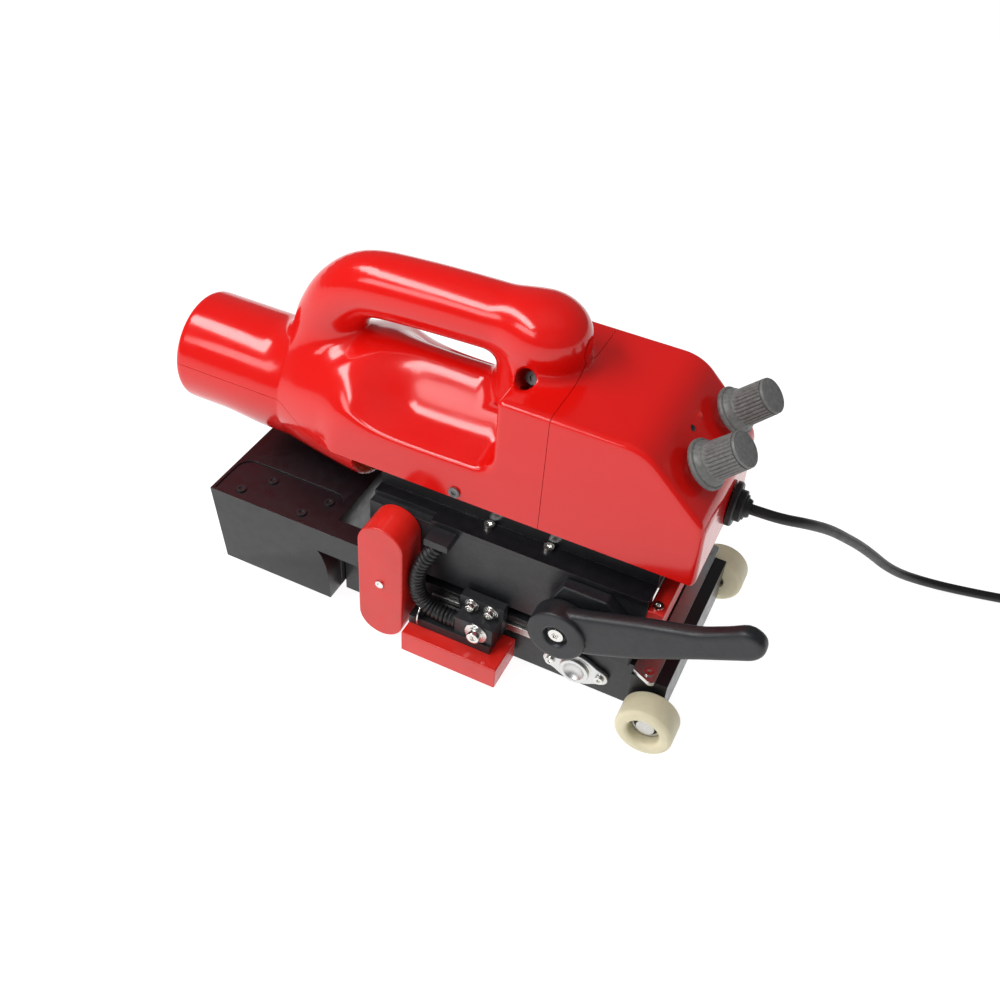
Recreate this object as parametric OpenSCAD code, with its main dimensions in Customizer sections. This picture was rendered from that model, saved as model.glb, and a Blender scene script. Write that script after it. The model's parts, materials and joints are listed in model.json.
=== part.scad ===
// Self-propelled hot-wedge welder for plastic sheet.
// Lengths are in millimetres. Until each node is drawn, x runs from the rear end of the motor barrel
// to the front, y = 0 is the middle of the housing and z = 0 is the floor. place() then moves the
// model so that its origin is the middle of its footprint.

/* [Motor barrel] */
// Outer radius of the motor barrel
barrel_r = 40; // [36:0.5:46]
// Height of the barrel axis above the floor
barrel_z = 133.5; // [130:0.5:140]
// Length of the straight part of the barrel
barrel_l = 86; // [80:1:92]

/* [Housing] */
// Width of the housing
house_w = 110.8; // [100:0.2:124]
// Height of the flat top of the control box
house_top = 216; // [206:1:230]
// Length from the barrel end to the front panel
house_front = 395.5; // [390:0.5:404]
// Where the top bends into the sloped control face
bend_x = 349.7; // [344:0.1:356]
// Height of the lower edge of the sloped control face
slope_z = 172.8; // [164:0.2:180]
// Height of the housing's lower edge
house_floor = 127; // [126:0.5:130]
// Wall of the moulded shells
wall = 3; // [2:0.1:3.6]
// Where the control box shell meets the main shell
seam_x = 291; // [288:1:296]

/* [Handle] */
// Radius of the hand grip
grip_r = 21.5; // [17:0.5:24]
// Height of the grip's axis at its front end
grip_z = 237; // [232:1:246]

/* [Chassis] */
// Half width of the chassis between the outer faces of its side plates
frame_y = 61.5; // [58:0.5:68]
// Thickness of the side plates
plate_t = 11; // [9:0.5:13]
// Height of the film slot's lower edge
slot_z0 = 46; // [44:0.5:47]
// Height of the film slot's upper edge
slot_z1 = 54; // [53:0.5:56]
// Ground clearance of the chassis
ground = 6.2; // [4:0.1:9]
// Height of the top of the chassis plate
deck_z = 107.6; // [107:0.1:110]
// Front end of the side plates
frame_x1 = 372; // [368:0.5:376]

/* [Wheels and rollers] */
// Radius of the plain wheels
wheel_r = 20; // [17:0.5:22]
// Width of the front wheels
wheel_w = 21.7; // [18:0.1:25]
// Radius of the knurled drive roller
drive_r = 24.2; // [22:0.1:24.6]
// Radius of the pressure roller
press_r = 15; // [13:0.5:15.5]
// Open height between the closed rollers
nip_gap = 0.6; // [0.4:0.1:1.2]

/* [Lever] */
// Length from the lever's hub to its tip
lever_l = 126.3; // [110:0.1:140]
// Thickness of the lever
lever_t = 16; // [12:0.5:18]
// Throw of the lever's cam
cam_throw = 2; // [1:0.1:2.4]

/* [Wedge carriage] */
// Length of the red guide shoe
shoe_l = 72; // [60:1:76]
// Thickness of the hot wedge at its back
wedge_t = 15.5; // [12:0.5:16]

/* [Lead] */
// Diameter of the mains lead
cord_d = 7.2; // [6:0.1:8]

/* [Hidden] */
$fn = 64;
e = 0.05;          // running clearance on a radius
hw = house_w / 2;
axle_x = 391.9;    // front wheels' axle
rear_axle_x = 100; // rear roller's axle
near_wheel_y = -91.8;
far_wheel_y = 86.7;
drive_x = 194.8;   // shared by both drive shafts
out_z = 91.9;      // output shaft
press_z = 2 * drive_r + nip_gap + press_r;
pivot_x = 285;     // pressure arm's pivot
pivot_z = 72;
hub_x = 322.7;     // lever's hub
hub_z = 73.8;
lever_rise = 63.5; // height of the lever's tip over its hub
tip_r = 11;
lever_tip_x = hub_x + lever_l;
shaft_r = 7;
cover_w = 17.1;    // half width of the chain cover
cover_y = -frame_y - 26.8; // its outer face
shoe_y = -frame_y - 35.6;  // outer face of the guide shoe
shoe_x = 216;
slide_gap = 3;     // side plate to the carriage
worm_r = 8.1;
wheel_gear_r = barrel_z - out_z - worm_r - 0.1;
gland_y = 14;
gland_z = 142;
coil_at = [650, 224];
coil_r = 36.8;     // middle of the coil's turns
coil_rows = 3;
box_x1 = 150;      // front of the rear box
box_top = 78.4;
belly_z = 94;      // underside of the belly
belly_x = 154;
beam_z0 = 64;      // pressure arm's beam
beam_z1 = 80;
cam_r = 8;
pin_r = 6;
pin_cover = 3;     // plate left over the blind end of the arm's pin
knob_n = [house_front - 1.7 - bend_x, house_top - slope_z];
knob_tilt = atan2(knob_n[1], knob_n[0]); // slope's normal, measured from +Z towards +X
knob_along = 35;   // down the slope from the bend
knob_ys = [-25, 33];
handle_screw = [263, -14, 209]; // where the handle's screw head seats
centre = [lever_tip_x / 2, (shoe_y + far_wheel_y) / 2, 0];

// The lead's free stretch, from its gland to the coil.
CORD = [[408, 14, 142], [416, 14.2, 142], [424, 15, 141.6], [432, 18, 140], [441, 25, 136],
        [450, 36, 128], [459, 50, 116.5], [469, 67, 100], [480, 85, 82], [491, 103, 62], [502, 120, 42],
        [515, 136, 25], [532, 150, 13], [552, 160, 6.5], [575, 168, 3.6], [600, 174, 3.6],
        [625, 179, 3.6], [650, 180, 3.6]];
// The corrugated conduit, from its gland under the deck to the carriage.
CONDUIT = [[230, -70, 98], [226, -74, 91], [221, -77, 82], [218.5, -78.5, 73], [218, -79, 64],
           [219, -79, 55], [223, -79, 47.5], [230, -79, 43], [240, -79, 42], [249.8, -79, 42]];

// ---- helpers ----
module place() { translate(-centre) children(); }
module block(x0, x1, y0, y1, z0, z1) { translate([x0, y0, z0]) cube([x1 - x0, y1 - y0, z1 - z0]); }
// Cylinders along Y and along X
module rod_y(x, z, y0, y1, r) { translate([x, y0, z]) rotate([-90, 0, 0]) cylinder(h = y1 - y0, r = r); }
module rod_x(x0, x1, y, z, r) { translate([x0, y, z]) rotate([0, 90, 0]) cylinder(h = x1 - x0, r = r); }
// A side outline, extruded across the machine, and a cross-section, extruded along it
module side(y0, y1) { translate([0, y1, 0]) rotate([90, 0, 0]) linear_extrude(y1 - y0) children(); }
module section(x0, x1) { translate([x0, 0, 0]) rotate([90, 0, 90]) linear_extrude(x1 - x0) children(); }
module stadium(w, z0, z1) {
    translate([0, z0]) circle(w);
    translate([0, z1]) circle(w);
    translate([-w, z0]) square([2 * w, z1 - z0]);
}
// A socket screw whose head rests on z = 0, with its shank below
module screw(head_r, head_h, shank_r, shank_l) {
    difference() {
        cylinder(h = head_h, r = head_r);
        translate([0, 0, head_h * 0.4]) cylinder(h = head_h, r = head_r * 0.5, $fn = 6);
    }
    translate([0, 0, -shank_l]) cylinder(h = shank_l + 0.2, r = shank_r);
}
module screw_y(x, z, y, head_r, head_h, shank_r, shank_l) {
    translate([x, y, z]) rotate([90, 0, 0]) screw(head_r, head_h, shank_r, shank_l);
}

// Sweep of a round section along points, with one ring at each point
function unit(v) = v / norm(v);
function heading(p, i) = unit(p[min(i + 1, len(p) - 1)] - p[max(i - 1, 0)]);
function ring(p, i, r, n) =
    let (t = heading(p, i), s = unit(cross(t, [0.1, 0.2, 1])), u = cross(s, t))
    [for (k = [0:n - 1]) p[i] + r * (s * cos(360 * k / n) + u * sin(360 * k / n))];
module tube(p, r, n) { swell(p, [for (i = p) r], n); }
// The same with a radius for each point
module swell(p, r, n) {
    rings = len(p);
    points = [for (i = [0:rings - 1]) each ring(p, i, r[i], n)];
    walls = [for (i = [0:rings - 2], k = [0:n - 1])
        [i * n + k, i * n + (k + 1) % n, (i + 1) * n + (k + 1) % n, (i + 1) * n + k]];
    first = [for (k = [n - 1:-1:0]) k];
    last = [for (k = [0:n - 1]) (rings - 1) * n + k];
    polyhedron(points = points, faces = concat(walls, [first], [last]));
}

// ---- housing ----
// The hollowed flanks: distance in from the housing's side, and height, up to the crest's edge
FLANK = [[0, 156], [15, 159.5], [27, 163], [33, 168.5], [44, 186], [49, 192]];
function flank_y(in, g) = hw - in - (in > 30 ? 0.8 : 1) * g;
// The rear shells' outline, drawn in by g: barrel, belly, hollowed flanks and the box's rear end
module rear_body(g) {
    rod_x(g, barrel_l, 0, barrel_z, barrel_r - g);
    hull() {
        rod_x(barrel_l - 4, barrel_l, 0, barrel_z, barrel_r - g, $fn = 32);
        for (y = [-1, 1]) {
            rod_x(belly_x - 6, belly_x - g, y * (hw - 28), belly_z + 28, 28 - g, $fn = 32);
            rod_x(belly_x - 6, belly_x - g, y * (hw - 16), house_top - 46, 16 - g, $fn = 32);
        }
    }
    section(belly_x - 10, 262) polygon([
        [-hw + g, house_floor - (g > 0 ? 10 : 0)], each [for (f = FLANK) [-flank_y(f[0], g), f[1] - g]],
        each [for (k = [len(FLANK) - 1:-1:0]) [flank_y(FLANK[k][0], g), FLANK[k][1] - g]],
        [hw - g, house_floor - (g > 0 ? 10 : 0)]]);
    side(-hw + g, hw - g) polygon([
        [256 + g, house_floor - (g > 0 ? 10 : 0)], [256 + g, house_top - 12], [268, house_top - g],
        [seam_x + (g > 0 ? 1 : 0), house_top - g],
        [seam_x + (g > 0 ? 1 : 0), house_floor - (g > 0 ? 10 : 0)]]);
}
// Everything below the seam between the upper shell and the belly shell
module under_seam(g) {
    side(-hw - 5, hw + 5) polygon([
        [-5, 60], [-5, barrel_z + 7 - g], [barrel_l + 4, barrel_z + 7 - g],
        [belly_x - 36, house_floor - g], [belly_x + 1, house_floor - g], [belly_x + 1, 60]]);
}
// The grip is swept along these places in the middle plane: x, z and the radius there
GRIP = [[100, 160, grip_r - 2], [101, 176, grip_r - 1], [103, 189, grip_r - 0.5], [108, 199, grip_r - 0.5],
        [117, 212.5, grip_r - 0.5], [131, 225, grip_r], [144, 230.5, grip_r], [171, grip_z - 4.4, grip_r],
        [198, grip_z - 3, grip_r], [231, grip_z - 2, grip_r], [256, grip_z - 2, grip_r]];
// The bulb under the grip's front end: x, z and radius of each level of its front half
BULB = [[260, 184, 27], [260, 212, 27], [262.5, 230, 29.8], [262.5, 241, 28.6], [262, 249, 24], [261, 254, 18],
        [260, 256.8, 8]];
module handle() {
    swell([for (g = GRIP) [g[0], 0, g[1]]], [for (g = GRIP) g[2]], 16);
    hull() for (b = BULB) translate([b[0], 0, b[1] + grip_z - 237]) scale([1, 0.93, 1])
        cylinder(h = 0.2, r = b[2], $fn = 32);
}
module upper_housing() color("red") place() difference() {
    union() {
        rear_body(0);
        handle();
    }
    rear_body(wall);
    under_seam(0);
    translate(handle_screw) rotate([60, 0, 0]) {
        cylinder(h = 30, r = 6.5);
        translate([0, 0, -3]) cylinder(h = 4, r = 2 + e);
    }
    rod_y(232, 133, -hw - 1, hw + 1, 2 + e);
}
module lower_housing() color("firebrick") place() difference() {
    intersection() {
        rear_body(0);
        under_seam(0.1);
    }
    rear_body(wall);
}
module box_outline(g) {
    polygon([[seam_x + 0.1 - (g > 0 ? 2 : 0), house_floor + g], [seam_x + 0.1 - (g > 0 ? 2 : 0), house_top - g],
             [bend_x - g * 0.4, house_top - g], [house_front - 1.7 - g, slope_z - g * 0.4],
             [house_front - g, house_floor + g]]);
}
module on_slope(along, y) {
    translate([bend_x + along * cos(knob_tilt), y, house_top - along * sin(knob_tilt)])
        rotate([0, knob_tilt, 0]) children();
}
module control_housing() color("red") place() difference() {
    side(-hw, hw) box_outline(0);
    side(-hw + wall, hw - wall) box_outline(wall);
    block(seam_x - 1, frame_x1 - 6, -36, 36, house_floor - 1, house_floor + wall + 1);
    for (y = knob_ys) on_slope(knob_along, y) translate([0, 0, -8]) cylinder(h = 16, r = 5);
    rod_x(house_front - 8, house_front + 8, gland_y, gland_z, 7);
}
module housing_screws() color("dimgray") place() {
    translate(handle_screw) rotate([60, 0, 0]) translate([0, 0, 0.05]) screw(4.5, 3, 2, 2);
    for (s = [-1, 1]) translate([232, s * (hw + 0.05), 133]) rotate([s * -90, 0, 0])
        screw(4, 1.5, 2, 2.8);
}

// ---- chassis ----
module shaft_holes(y0, y1) {
    rod_y(drive_x, drive_r, y0, y1, shaft_r + e);
    rod_y(drive_x, out_z, y0, y1, shaft_r + e);
}
module top_plate() color([0.08, 0.08, 0.09]) place() difference() {
    union() {
        block(172, frame_x1, -frame_y + 7, frame_y, deck_z - 4, deck_z);
        block(219, frame_x1, -frame_y - 0.7, -frame_y + 8, deck_z - 4, deck_z);
        for (y = [-45, 39]) block(172, frame_x1, y, y + 6, deck_z - 0.1, house_floor);
        block(frame_x1 - 6, frame_x1, -44, 44, deck_z - 0.1, house_floor);
    }
    block(170, 232, -11, 11, deck_z - 5, deck_z + 1);
    translate([240, -34, deck_z - 5]) cylinder(h = 6, r = 3);
}
module upper_frame() color([0.1, 0.1, 0.11]) place() difference() {
    block(172, frame_x1, -frame_y, -frame_y + plate_t - 1, slot_z1, deck_z - 4);
    shaft_holes(-frame_y - 1, -frame_y + plate_t);
    rod_y(pivot_x, pivot_z, -frame_y + pin_cover, -frame_y + plate_t, pin_r);
    rod_y(hub_x, hub_z, -frame_y - 1, -frame_y + plate_t, pin_r + e);
}
module lower_frame() color([0.1, 0.1, 0.11]) place() difference() {
    union() {
        block(box_x1, frame_x1, -frame_y, -frame_y + plate_t, ground, slot_z0);
        block(226, 300, -frame_y + 1, frame_y - plate_t, ground, ground + 4);
    }
    shaft_holes(-frame_y - 1, -frame_y + plate_t + 1);
    rod_y(333, 23.6, -frame_y - 1, -frame_y + plate_t + 1, 8 + e);
}
module far_frame() color([0.1, 0.1, 0.11]) place() difference() {
    union() {
        block(172, frame_x1, frame_y - plate_t, frame_y, ground, deck_z - 4);
        block(box_x1, 180, frame_y - plate_t, frame_y, ground, slot_z0);
    }
    shaft_holes(frame_y - plate_t - 1, frame_y + 1);
    rod_y(333, 23.6, frame_y - plate_t - 1, frame_y + 1, 8 + e);
}
module crossbar() color([0.07, 0.07, 0.08]) place() difference() {
    block(frame_x1, frame_x1 + 25, near_wheel_y + wheel_w + 2, far_wheel_y - wheel_w - 2, ground, 45);
    rod_y(axle_x, wheel_r, near_wheel_y + wheel_w, far_wheel_y - wheel_w, 4);
}
module guide_plate() color("silver") place() difference() {
    union() {
        block(frame_x1 + 7, frame_x1 + 16.5, -60, 60, 45, 48);
        for (s = [-1, 1]) hull() {
            translate([frame_x1 + 13.5, s * 69, 45]) cylinder(h = 3, r = 3);
            translate([frame_x1 + 3, s * 64, 45]) cylinder(h = 3, r = 3);
            translate([frame_x1 + 8.25, s * 50, 46.5]) cube([16.5, 6, 3], center = true);
        }
    }
    for (s = [-1, 1]) translate([frame_x1 + 10.5, s * 64, 44]) cylinder(h = 5, r = 2.5);
}
module front_bar() color("red") place()
    block(frame_x1, frame_x1 + 11, -frame_y, frame_y, 84, 100);
module lever_block() color([0.12, 0.12, 0.13]) place() difference() {
    side(-frame_y - 9.7, -frame_y) polygon([[303, slot_z1], [309, 84], [318, 103], [348, 103],
                                            [frame_x1 - 2, 82], [frame_x1 - 2, slot_z1]]);
    rod_y(hub_x, hub_z, -frame_y - 12, -frame_y + 1, pin_r + e);
}
module inner_bracket() color("dimgray") place() difference() {
    block(272, 336, -15.5, -8.5, 62, deck_z - 4);
    rod_y(pivot_x, pivot_z, -17, -7, pin_r);
    rod_y(hub_x, hub_z, -17, -7, pin_r + e);
}
module arm_pin() color("silver") place() rod_y(pivot_x, pivot_z, -frame_y + pin_cover, -8.5, pin_r);
module axles() color("silver") place() {
    for (s = [[near_wheel_y + 7, near_wheel_y + wheel_w + 20], [far_wheel_y - wheel_w - 20, far_wheel_y - 7]])
        rod_y(axle_x, wheel_r, s[0], s[1], 4 - e);
    rod_y(axle_x, wheel_r, near_wheel_y + 6, near_wheel_y + 8, 6.5);
    rod_y(axle_x, wheel_r, far_wheel_y - 8, far_wheel_y - 6, 6.5);
    rod_y(rear_axle_x, wheel_r, -72, frame_y, 4 - e);
}

// ---- rear box ----
module rear_box() color([0.1, 0.1, 0.12]) place() difference() {
    union() {
        side(-66, frame_y) polygon([[53.5, box_top], [60.5, 14.3], [box_x1 - 0.2, 14.3],
                                    [box_x1 - 0.2, box_top]]);
        // The front edge of the near end curves back under the bracket that reaches forward
        side(-81.9, -65) polygon([[53.5, box_top], [60.5, 14.3], [box_x1 - 0.2, 14.3], [box_x1 - 1, 34],
                                  [box_x1 - 3, 46], [box_x1 - 6, 54], [box_x1 - 9, 58], [box_x1 - 9, box_top]]);
        block(box_x1 - 12, 176, -81.9, -66, 58, box_top);
    }
    side(-77.9, frame_y - 4) polygon([[58, box_top - 4], [64.7, 10], [box_x1 - 13, 10],
                                      [box_x1 - 13, box_top - 4]]);
    lid_place(0);
    for (p = LID) translate([p[0], p[1], box_top - 8]) cylinder(h = 8, r = 2.2);
    rod_y(rear_axle_x, wheel_r, frame_y - 6, frame_y + 1, 4);
}
LID = [[73, -72], [87.5, -54], [123, -72], [134, -54]];
// The lid's recess, drawn in by g, with its two far corners rounded
module lid_place(g) hull() {
    block(56 + g, 143 - g, -79.5 + g, -70, box_top - 2, box_top + 1);
    for (x = [67, 132]) translate([x, -54, box_top - 2]) cylinder(h = 3, r = 11 - g);
}
module rear_box_lid() color([0.1, 0.1, 0.12]) place() difference() {
    intersection() {
        lid_place(0.2);
        block(50, 150, -82, -40, box_top - 3, box_top - 0.9);
    }
    for (p = LID) translate([p[0], p[1], box_top - 3]) cylinder(h = 4, r = 2.2);
}
module lid_screws() color("black") place()
    for (p = LID) translate([p[0], p[1], box_top - 0.9]) screw(3.6, 1.2, 2.2, 6);
module ballast_block() color("dimgray") place() difference() {
    block(72, 136, -77.5, -62.5, 14.6, box_top - 8.5);
    rod_y(rear_axle_x, wheel_r, -80, -60, 4);
}
module rear_roller() color("ivory") place() difference() {
    rod_y(rear_axle_x, wheel_r, -58, 56, wheel_r);
    rod_y(rear_axle_x, wheel_r, -60, 60, 4);
}

// ---- drive ----
module motor_body() color("dimgray") place() difference() {
    union() {
        rod_x(6, 112, 0, barrel_z, barrel_r - wall - 4);
        rod_x(112, 158.5, 0, barrel_z, 16);
    }
    rod_x(60, 160, 0, barrel_z, 5 + e);
}
module gear_case() color("lightgray") place() difference() {
    block(158.5, 246, -16, 16, deck_z, 147);
    block(164, 240, -11, 11, deck_z - 1, 142);
    rod_x(150, 260, 0, barrel_z, 5 + e);
}
module worm_shaft() color("silver") place() {
    rod_x(62, 244, 0, barrel_z, 5);
    rod_x(176, 214, 0, barrel_z, worm_r);
}
module worm_wheel() color("goldenrod") place() difference() {
    rod_y(drive_x, out_z, -8, 8, wheel_gear_r);
    rod_y(drive_x, out_z, -9, 9, shaft_r);
}
module sprocket(z) { rod_y(drive_x, z, -frame_y - 16.5, -frame_y - 11.5, 11); }
module output_shaft() color("silver") place() {
    rod_y(drive_x, out_z, -frame_y - 18.5, frame_y, shaft_r);
    sprocket(out_z);
}
module drive_shaft() color("silver") place() {
    rod_y(drive_x, drive_r, -frame_y - 18.5, frame_y, shaft_r);
    sprocket(drive_r);
}
module drive_roller() color("silver") place() difference() {
    rod_y(drive_x, drive_r, -46, -20, drive_r);
    rod_y(drive_x, drive_r, -47, -19, shaft_r);
}
module drive_chain() color("dimgray") place() side(-frame_y - 17, -frame_y - 11) translate([drive_x, 0]) difference() {
    stadium(13.8, drive_r, out_z);
    stadium(11.3, drive_r, out_z);
}
module chain_cover() color("red") place() difference() {
    side(cover_y, -frame_y) translate([drive_x, 0]) stadium(cover_w, drive_r, out_z);
    side(cover_y + 2.5, -frame_y + 1) translate([drive_x, 0]) stadium(cover_w - 2.5, drive_r, out_z);
}
module track_roller() color("silver") place() {
    rod_y(333, 23.6, -48, 48, 20.5);
    rod_y(333, 23.6, -frame_y, frame_y, 8);
}
module flange_bearing() color("silver") place() {
    side(-frame_y - 4, -frame_y) translate([333, 23.6]) {
        circle(13.5);
        for (s = [-18, 18]) translate([s, 0]) circle(6);
        polygon([[-20, 5.6], [0, 13.4], [20, 5.6], [20, -5.6], [0, -13.4], [-20, -5.6]]);
    }
    rod_y(333, 23.6, -frame_y - 7, -frame_y - 3.9, 10.5);
}
module frame_screws() color("silver") place() {
    for (x = [255.3, 298.2]) translate([x, -49, deck_z]) screw(3.6, 2.6, 2, 0);
    translate([377, -56, 100]) screw(3.6, 2.6, 2, 0);
    for (s = [-1, 1]) translate([frame_x1 + 10.5, s * 64, 48]) screw(3.4, 1, 2.4, 2.8);
    for (s = [-18, 18]) screw_y(333 + s, 23.6, -frame_y - 4, 3.2, 2, 2, 0);
    screw_y(drive_x, (drive_r + out_z) / 2, cover_y, 3, 1.2, 2, 0);
    translate([240, -34, deck_z]) screw(4.5, 3, 2.9, 8);
}

// ---- pressure arm and lever ----
module pressure_arm() color("dimgray") place() difference() {
    union() {
        block(222, 300, -50, -17.5, beam_z0, beam_z1);
        for (y = [-50, -21]) block(188, 223, y, y + 3.5, press_z - 6, press_z + 13);
        block(296, 334, -46, -20, 57, beam_z0 + 0.6);
        rod_y(drive_x, press_z, -49, -18, 4);
    }
    rod_y(pivot_x, pivot_z, -52, -16, pin_r + e);
    translate([240, -34, beam_z1 - 2]) cylinder(h = 3, r = 5.5);
}
module pressure_roller() color("silver") place() difference() {
    rod_y(drive_x, press_z, -46, -21.5, press_r);
    rod_y(drive_x, press_z, -47, -20, 4 + e);
}
module pressure_spring() color("silver") place() translate([240, -34, beam_z1 - 2]) difference() {
    cylinder(h = deck_z - 4 - 8 - beam_z1 + 10, r = 5.2);
    translate([0, 0, -1]) cylinder(h = 40, r = 3.8);
}
module cam_shaft() color("silver") place() {
    rod_y(hub_x, hub_z, -frame_y - 16.5, -8.5, pin_r);
    rod_y(hub_x - cam_throw, hub_z, -44, -22, cam_r);
}
lever_y1 = -frame_y - 10.3;
lever_y0 = lever_y1 - lever_t;
// The lever's arm is thinner than its hub
arm_y0 = lever_y0 + 0.18 * lever_t;
arm_y1 = lever_y1 - 0.14 * lever_t;
module lever() color([0.13, 0.13, 0.14]) place() difference() {
    union() {
        rod_y(hub_x, hub_z, lever_y0, lever_y1, 20);
        rod_y(lever_tip_x - tip_r, hub_z + lever_rise - tip_r, arm_y0, arm_y1, tip_r);
        side(arm_y0, arm_y1) polygon([
            [hub_x - 6, hub_z + 17], [hub_x + 17, hub_z + 23.5], [hub_x + 51, hub_z + 35.5],
            [hub_x + 89, hub_z + 47.5], [lever_tip_x - 19, hub_z + lever_rise - 5.5],
            [lever_tip_x - tip_r - 1, hub_z + lever_rise], [lever_tip_x - 6, hub_z + lever_rise - 20.8],
            [hub_x + 86, hub_z + 23.6], [hub_x + 51, hub_z + 3.6], [hub_x + 20, hub_z - 10],
            [hub_x + 10, hub_z - 15]]);
    }
    rod_y(hub_x, hub_z, -frame_y - 17.5, lever_y1 + 1, pin_r);
    rod_y(hub_x, hub_z, lever_y0 - 1, lever_y0 + 4, 8);
    rod_y(hub_x, hub_z, lever_y0, -frame_y - 16.5, 3);
}
module lever_screw() color("silver") place() {
    screw_y(hub_x, hub_z, lever_y0 + 4, 5.5, 3, 3, -lever_y0 - 4 - frame_y - 16.5);
}

// ---- wedge carriage ----
module guide_rail() color("silver") place() block(222, 306, -frame_y - 2.4, -frame_y, 34, 40);
module guide_shoe() color("red") place()
    block(shoe_x, shoe_x + shoe_l, shoe_y, -frame_y - slide_gap, 10.8, 28.9);
module carriage_bracket() color([0.08, 0.08, 0.09]) place() difference() {
    union() {
        block(shoe_x, shoe_x + shoe_l - 10, -frame_y - 24.5, -frame_y - slide_gap, 28.9, 36);
        block(250, 278, -frame_y - 22.5, -frame_y - slide_gap, 35, 50);
        block(248, 280, -frame_y - 10.5, -frame_y - slide_gap, 35, 60);
        block(246, 276, -frame_y - 8.5, -47, 47, 53);
        block(250, 276, -47.2, -45.8, 43, 56);
    }
}
module hot_wedge() color("peru") place() difference() {
    side(-45.8, -22) polygon([[223, 49.2], [223, 50.2], [242, 50 + wedge_t / 2], [278, 50 + wedge_t / 2],
                              [278, 50 - wedge_t / 2], [242, 50 - wedge_t / 2]]);
    for (x = [254, 268]) rod_y(x, 50, -44, -20, 4);
}
module heater_cartridges() color("silver") place() for (x = [254, 268]) rod_y(x, 50, -44, -21, 4 - e);
module carriage_bolts() color("silver") place() {
    for (x = [257, 271]) screw_y(x, 54.5, -frame_y - 10.5, 4.2, 3.4, 2, 0);
    screw_y(266.5, 43, -frame_y - 22.5, 6, 4.5, 2, 0);
    translate([shoe_x + 5, -frame_y - 20, 36]) screw(4.4, 3, 2, 0);
}
module conduit_gland() color([0.1, 0.1, 0.1]) place()
    block(221, 239, -frame_y - 15.5, -frame_y, 98, deck_z - 4.1);
module conduit() color([0.06, 0.06, 0.06]) place() tube(CONDUIT, 5.4, 12);

// ---- wheels ----
module wheel(outer_y, dir) {
    // Section in radius and depth from the outer face, turned about the axle
    translate([axle_x, outer_y, wheel_r]) rotate([-90 * dir, 0, 0]) rotate_extrude() polygon([
        [11, 1], [13, 0], [wheel_r - 2.5, 0], [wheel_r - 0.7, 0.8], [wheel_r, 2.5],
        [wheel_r, wheel_w - 2.5], [wheel_r - 0.7, wheel_w - 0.8], [wheel_r - 2.5, wheel_w],
        [6.5, wheel_w], [6.5, 17], [11, 17]]);
}
module wheel_bearing(y0, y1) {
    difference() {
        rod_y(axle_x, wheel_r, y0, y1, 10.98);
        rod_y(axle_x, wheel_r, y0 - 1, y1 + 1, 4);
    }
}
module front_wheel_near() color("ivory") place() wheel(near_wheel_y, 1);
module front_wheel_far() color("ivory") place() wheel(far_wheel_y, -1);
module wheel_bearing_near() color("dimgray") place() wheel_bearing(near_wheel_y + 8.5, near_wheel_y + 16.9);
module wheel_bearing_far() color("dimgray") place() wheel_bearing(far_wheel_y - 16.9, far_wheel_y - 8.5);

// ---- controls ----
module knob(y) on_slope(knob_along, y) {
    translate([0, 0, -6]) cylinder(h = 14, r = 3);
    translate([0, 0, 6.2]) cylinder(h = 3.4, r = 16.2);
    translate([0, 0, 9.5]) cylinder(h = 4, r1 = 14, r2 = 12.4);
    translate([0, 0, 13.4]) cylinder(h = 23, r = 11.8);
}
module temperature_knob() color("gray") place() knob(knob_ys[0]);
module speed_knob() color("gray") place() knob(knob_ys[1]);
module potentiometers() color("silver") place() for (y = knob_ys) on_slope(knob_along, y) difference() {
    union() {
        translate([0, 0, -12]) cylinder(h = 8.5, r = 8);
        translate([0, 0, -4]) cylinder(h = 9.5, r = 5 - e);
        translate([0, 0, 0.1]) cylinder(h = 2.6, r = 8, $fn = 6);
    }
    translate([0, 0, -6.1]) cylinder(h = 14, r = 3 + e);
}
module control_board() color("darkgreen") place() {
    block(302, 362, -46, 46, 140, 142);
    for (y = [-30, 10]) block(308, 336, y, y + 22, 141.9, 164);
    for (x = [304, 358], y = [-42, 40]) block(x, x + 3, y, y + 3, house_floor + wall, 140.1);
}
module cord_gland() color([0.1, 0.1, 0.1]) place() difference() {
    union() {
        rod_x(house_front - 8, house_front, gland_y, gland_z, 7 - e);
        rod_x(house_front, house_front + 4, gland_y, gland_z, 15);
        rod_x(house_front + 3.9, house_front + 10, gland_y, gland_z, 10.5);
        translate([house_front + 9.9, gland_y, gland_z]) rotate([0, 90, 0])
            cylinder(h = CORD[0][0] - house_front - 9.9, r1 = 7.5, r2 = cord_d / 2 + 0.8);
    }
    rod_x(house_front - 9, CORD[0][0] + 0.5, gland_y, gland_z, cord_d / 2 - 0.8);
}
module power_cord() color([0.05, 0.05, 0.05]) place() tube(CORD, cord_d / 2, 8);
module cord_coil() color([0.05, 0.05, 0.05]) place() translate([coil_at[0], coil_at[1], 0])
    rotate_extrude() translate([coil_r - 1.5 * cord_d, 0]) square([3 * cord_d, coil_rows * cord_d]);
module mains_plug() color([0.05, 0.05, 0.05]) place() {
    y = coil_at[1] - coil_r + cord_d;
    z = coil_rows * cord_d;
    block(coil_at[0] + 2, coil_at[0] + 42, y - 12, y + 12, z, z + 15);
    for (s = [-9.5, 9.5]) rod_x(coil_at[0] + 41.9, coil_at[0] + 61, y + s, z + 7.5, 2);
}

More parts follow.
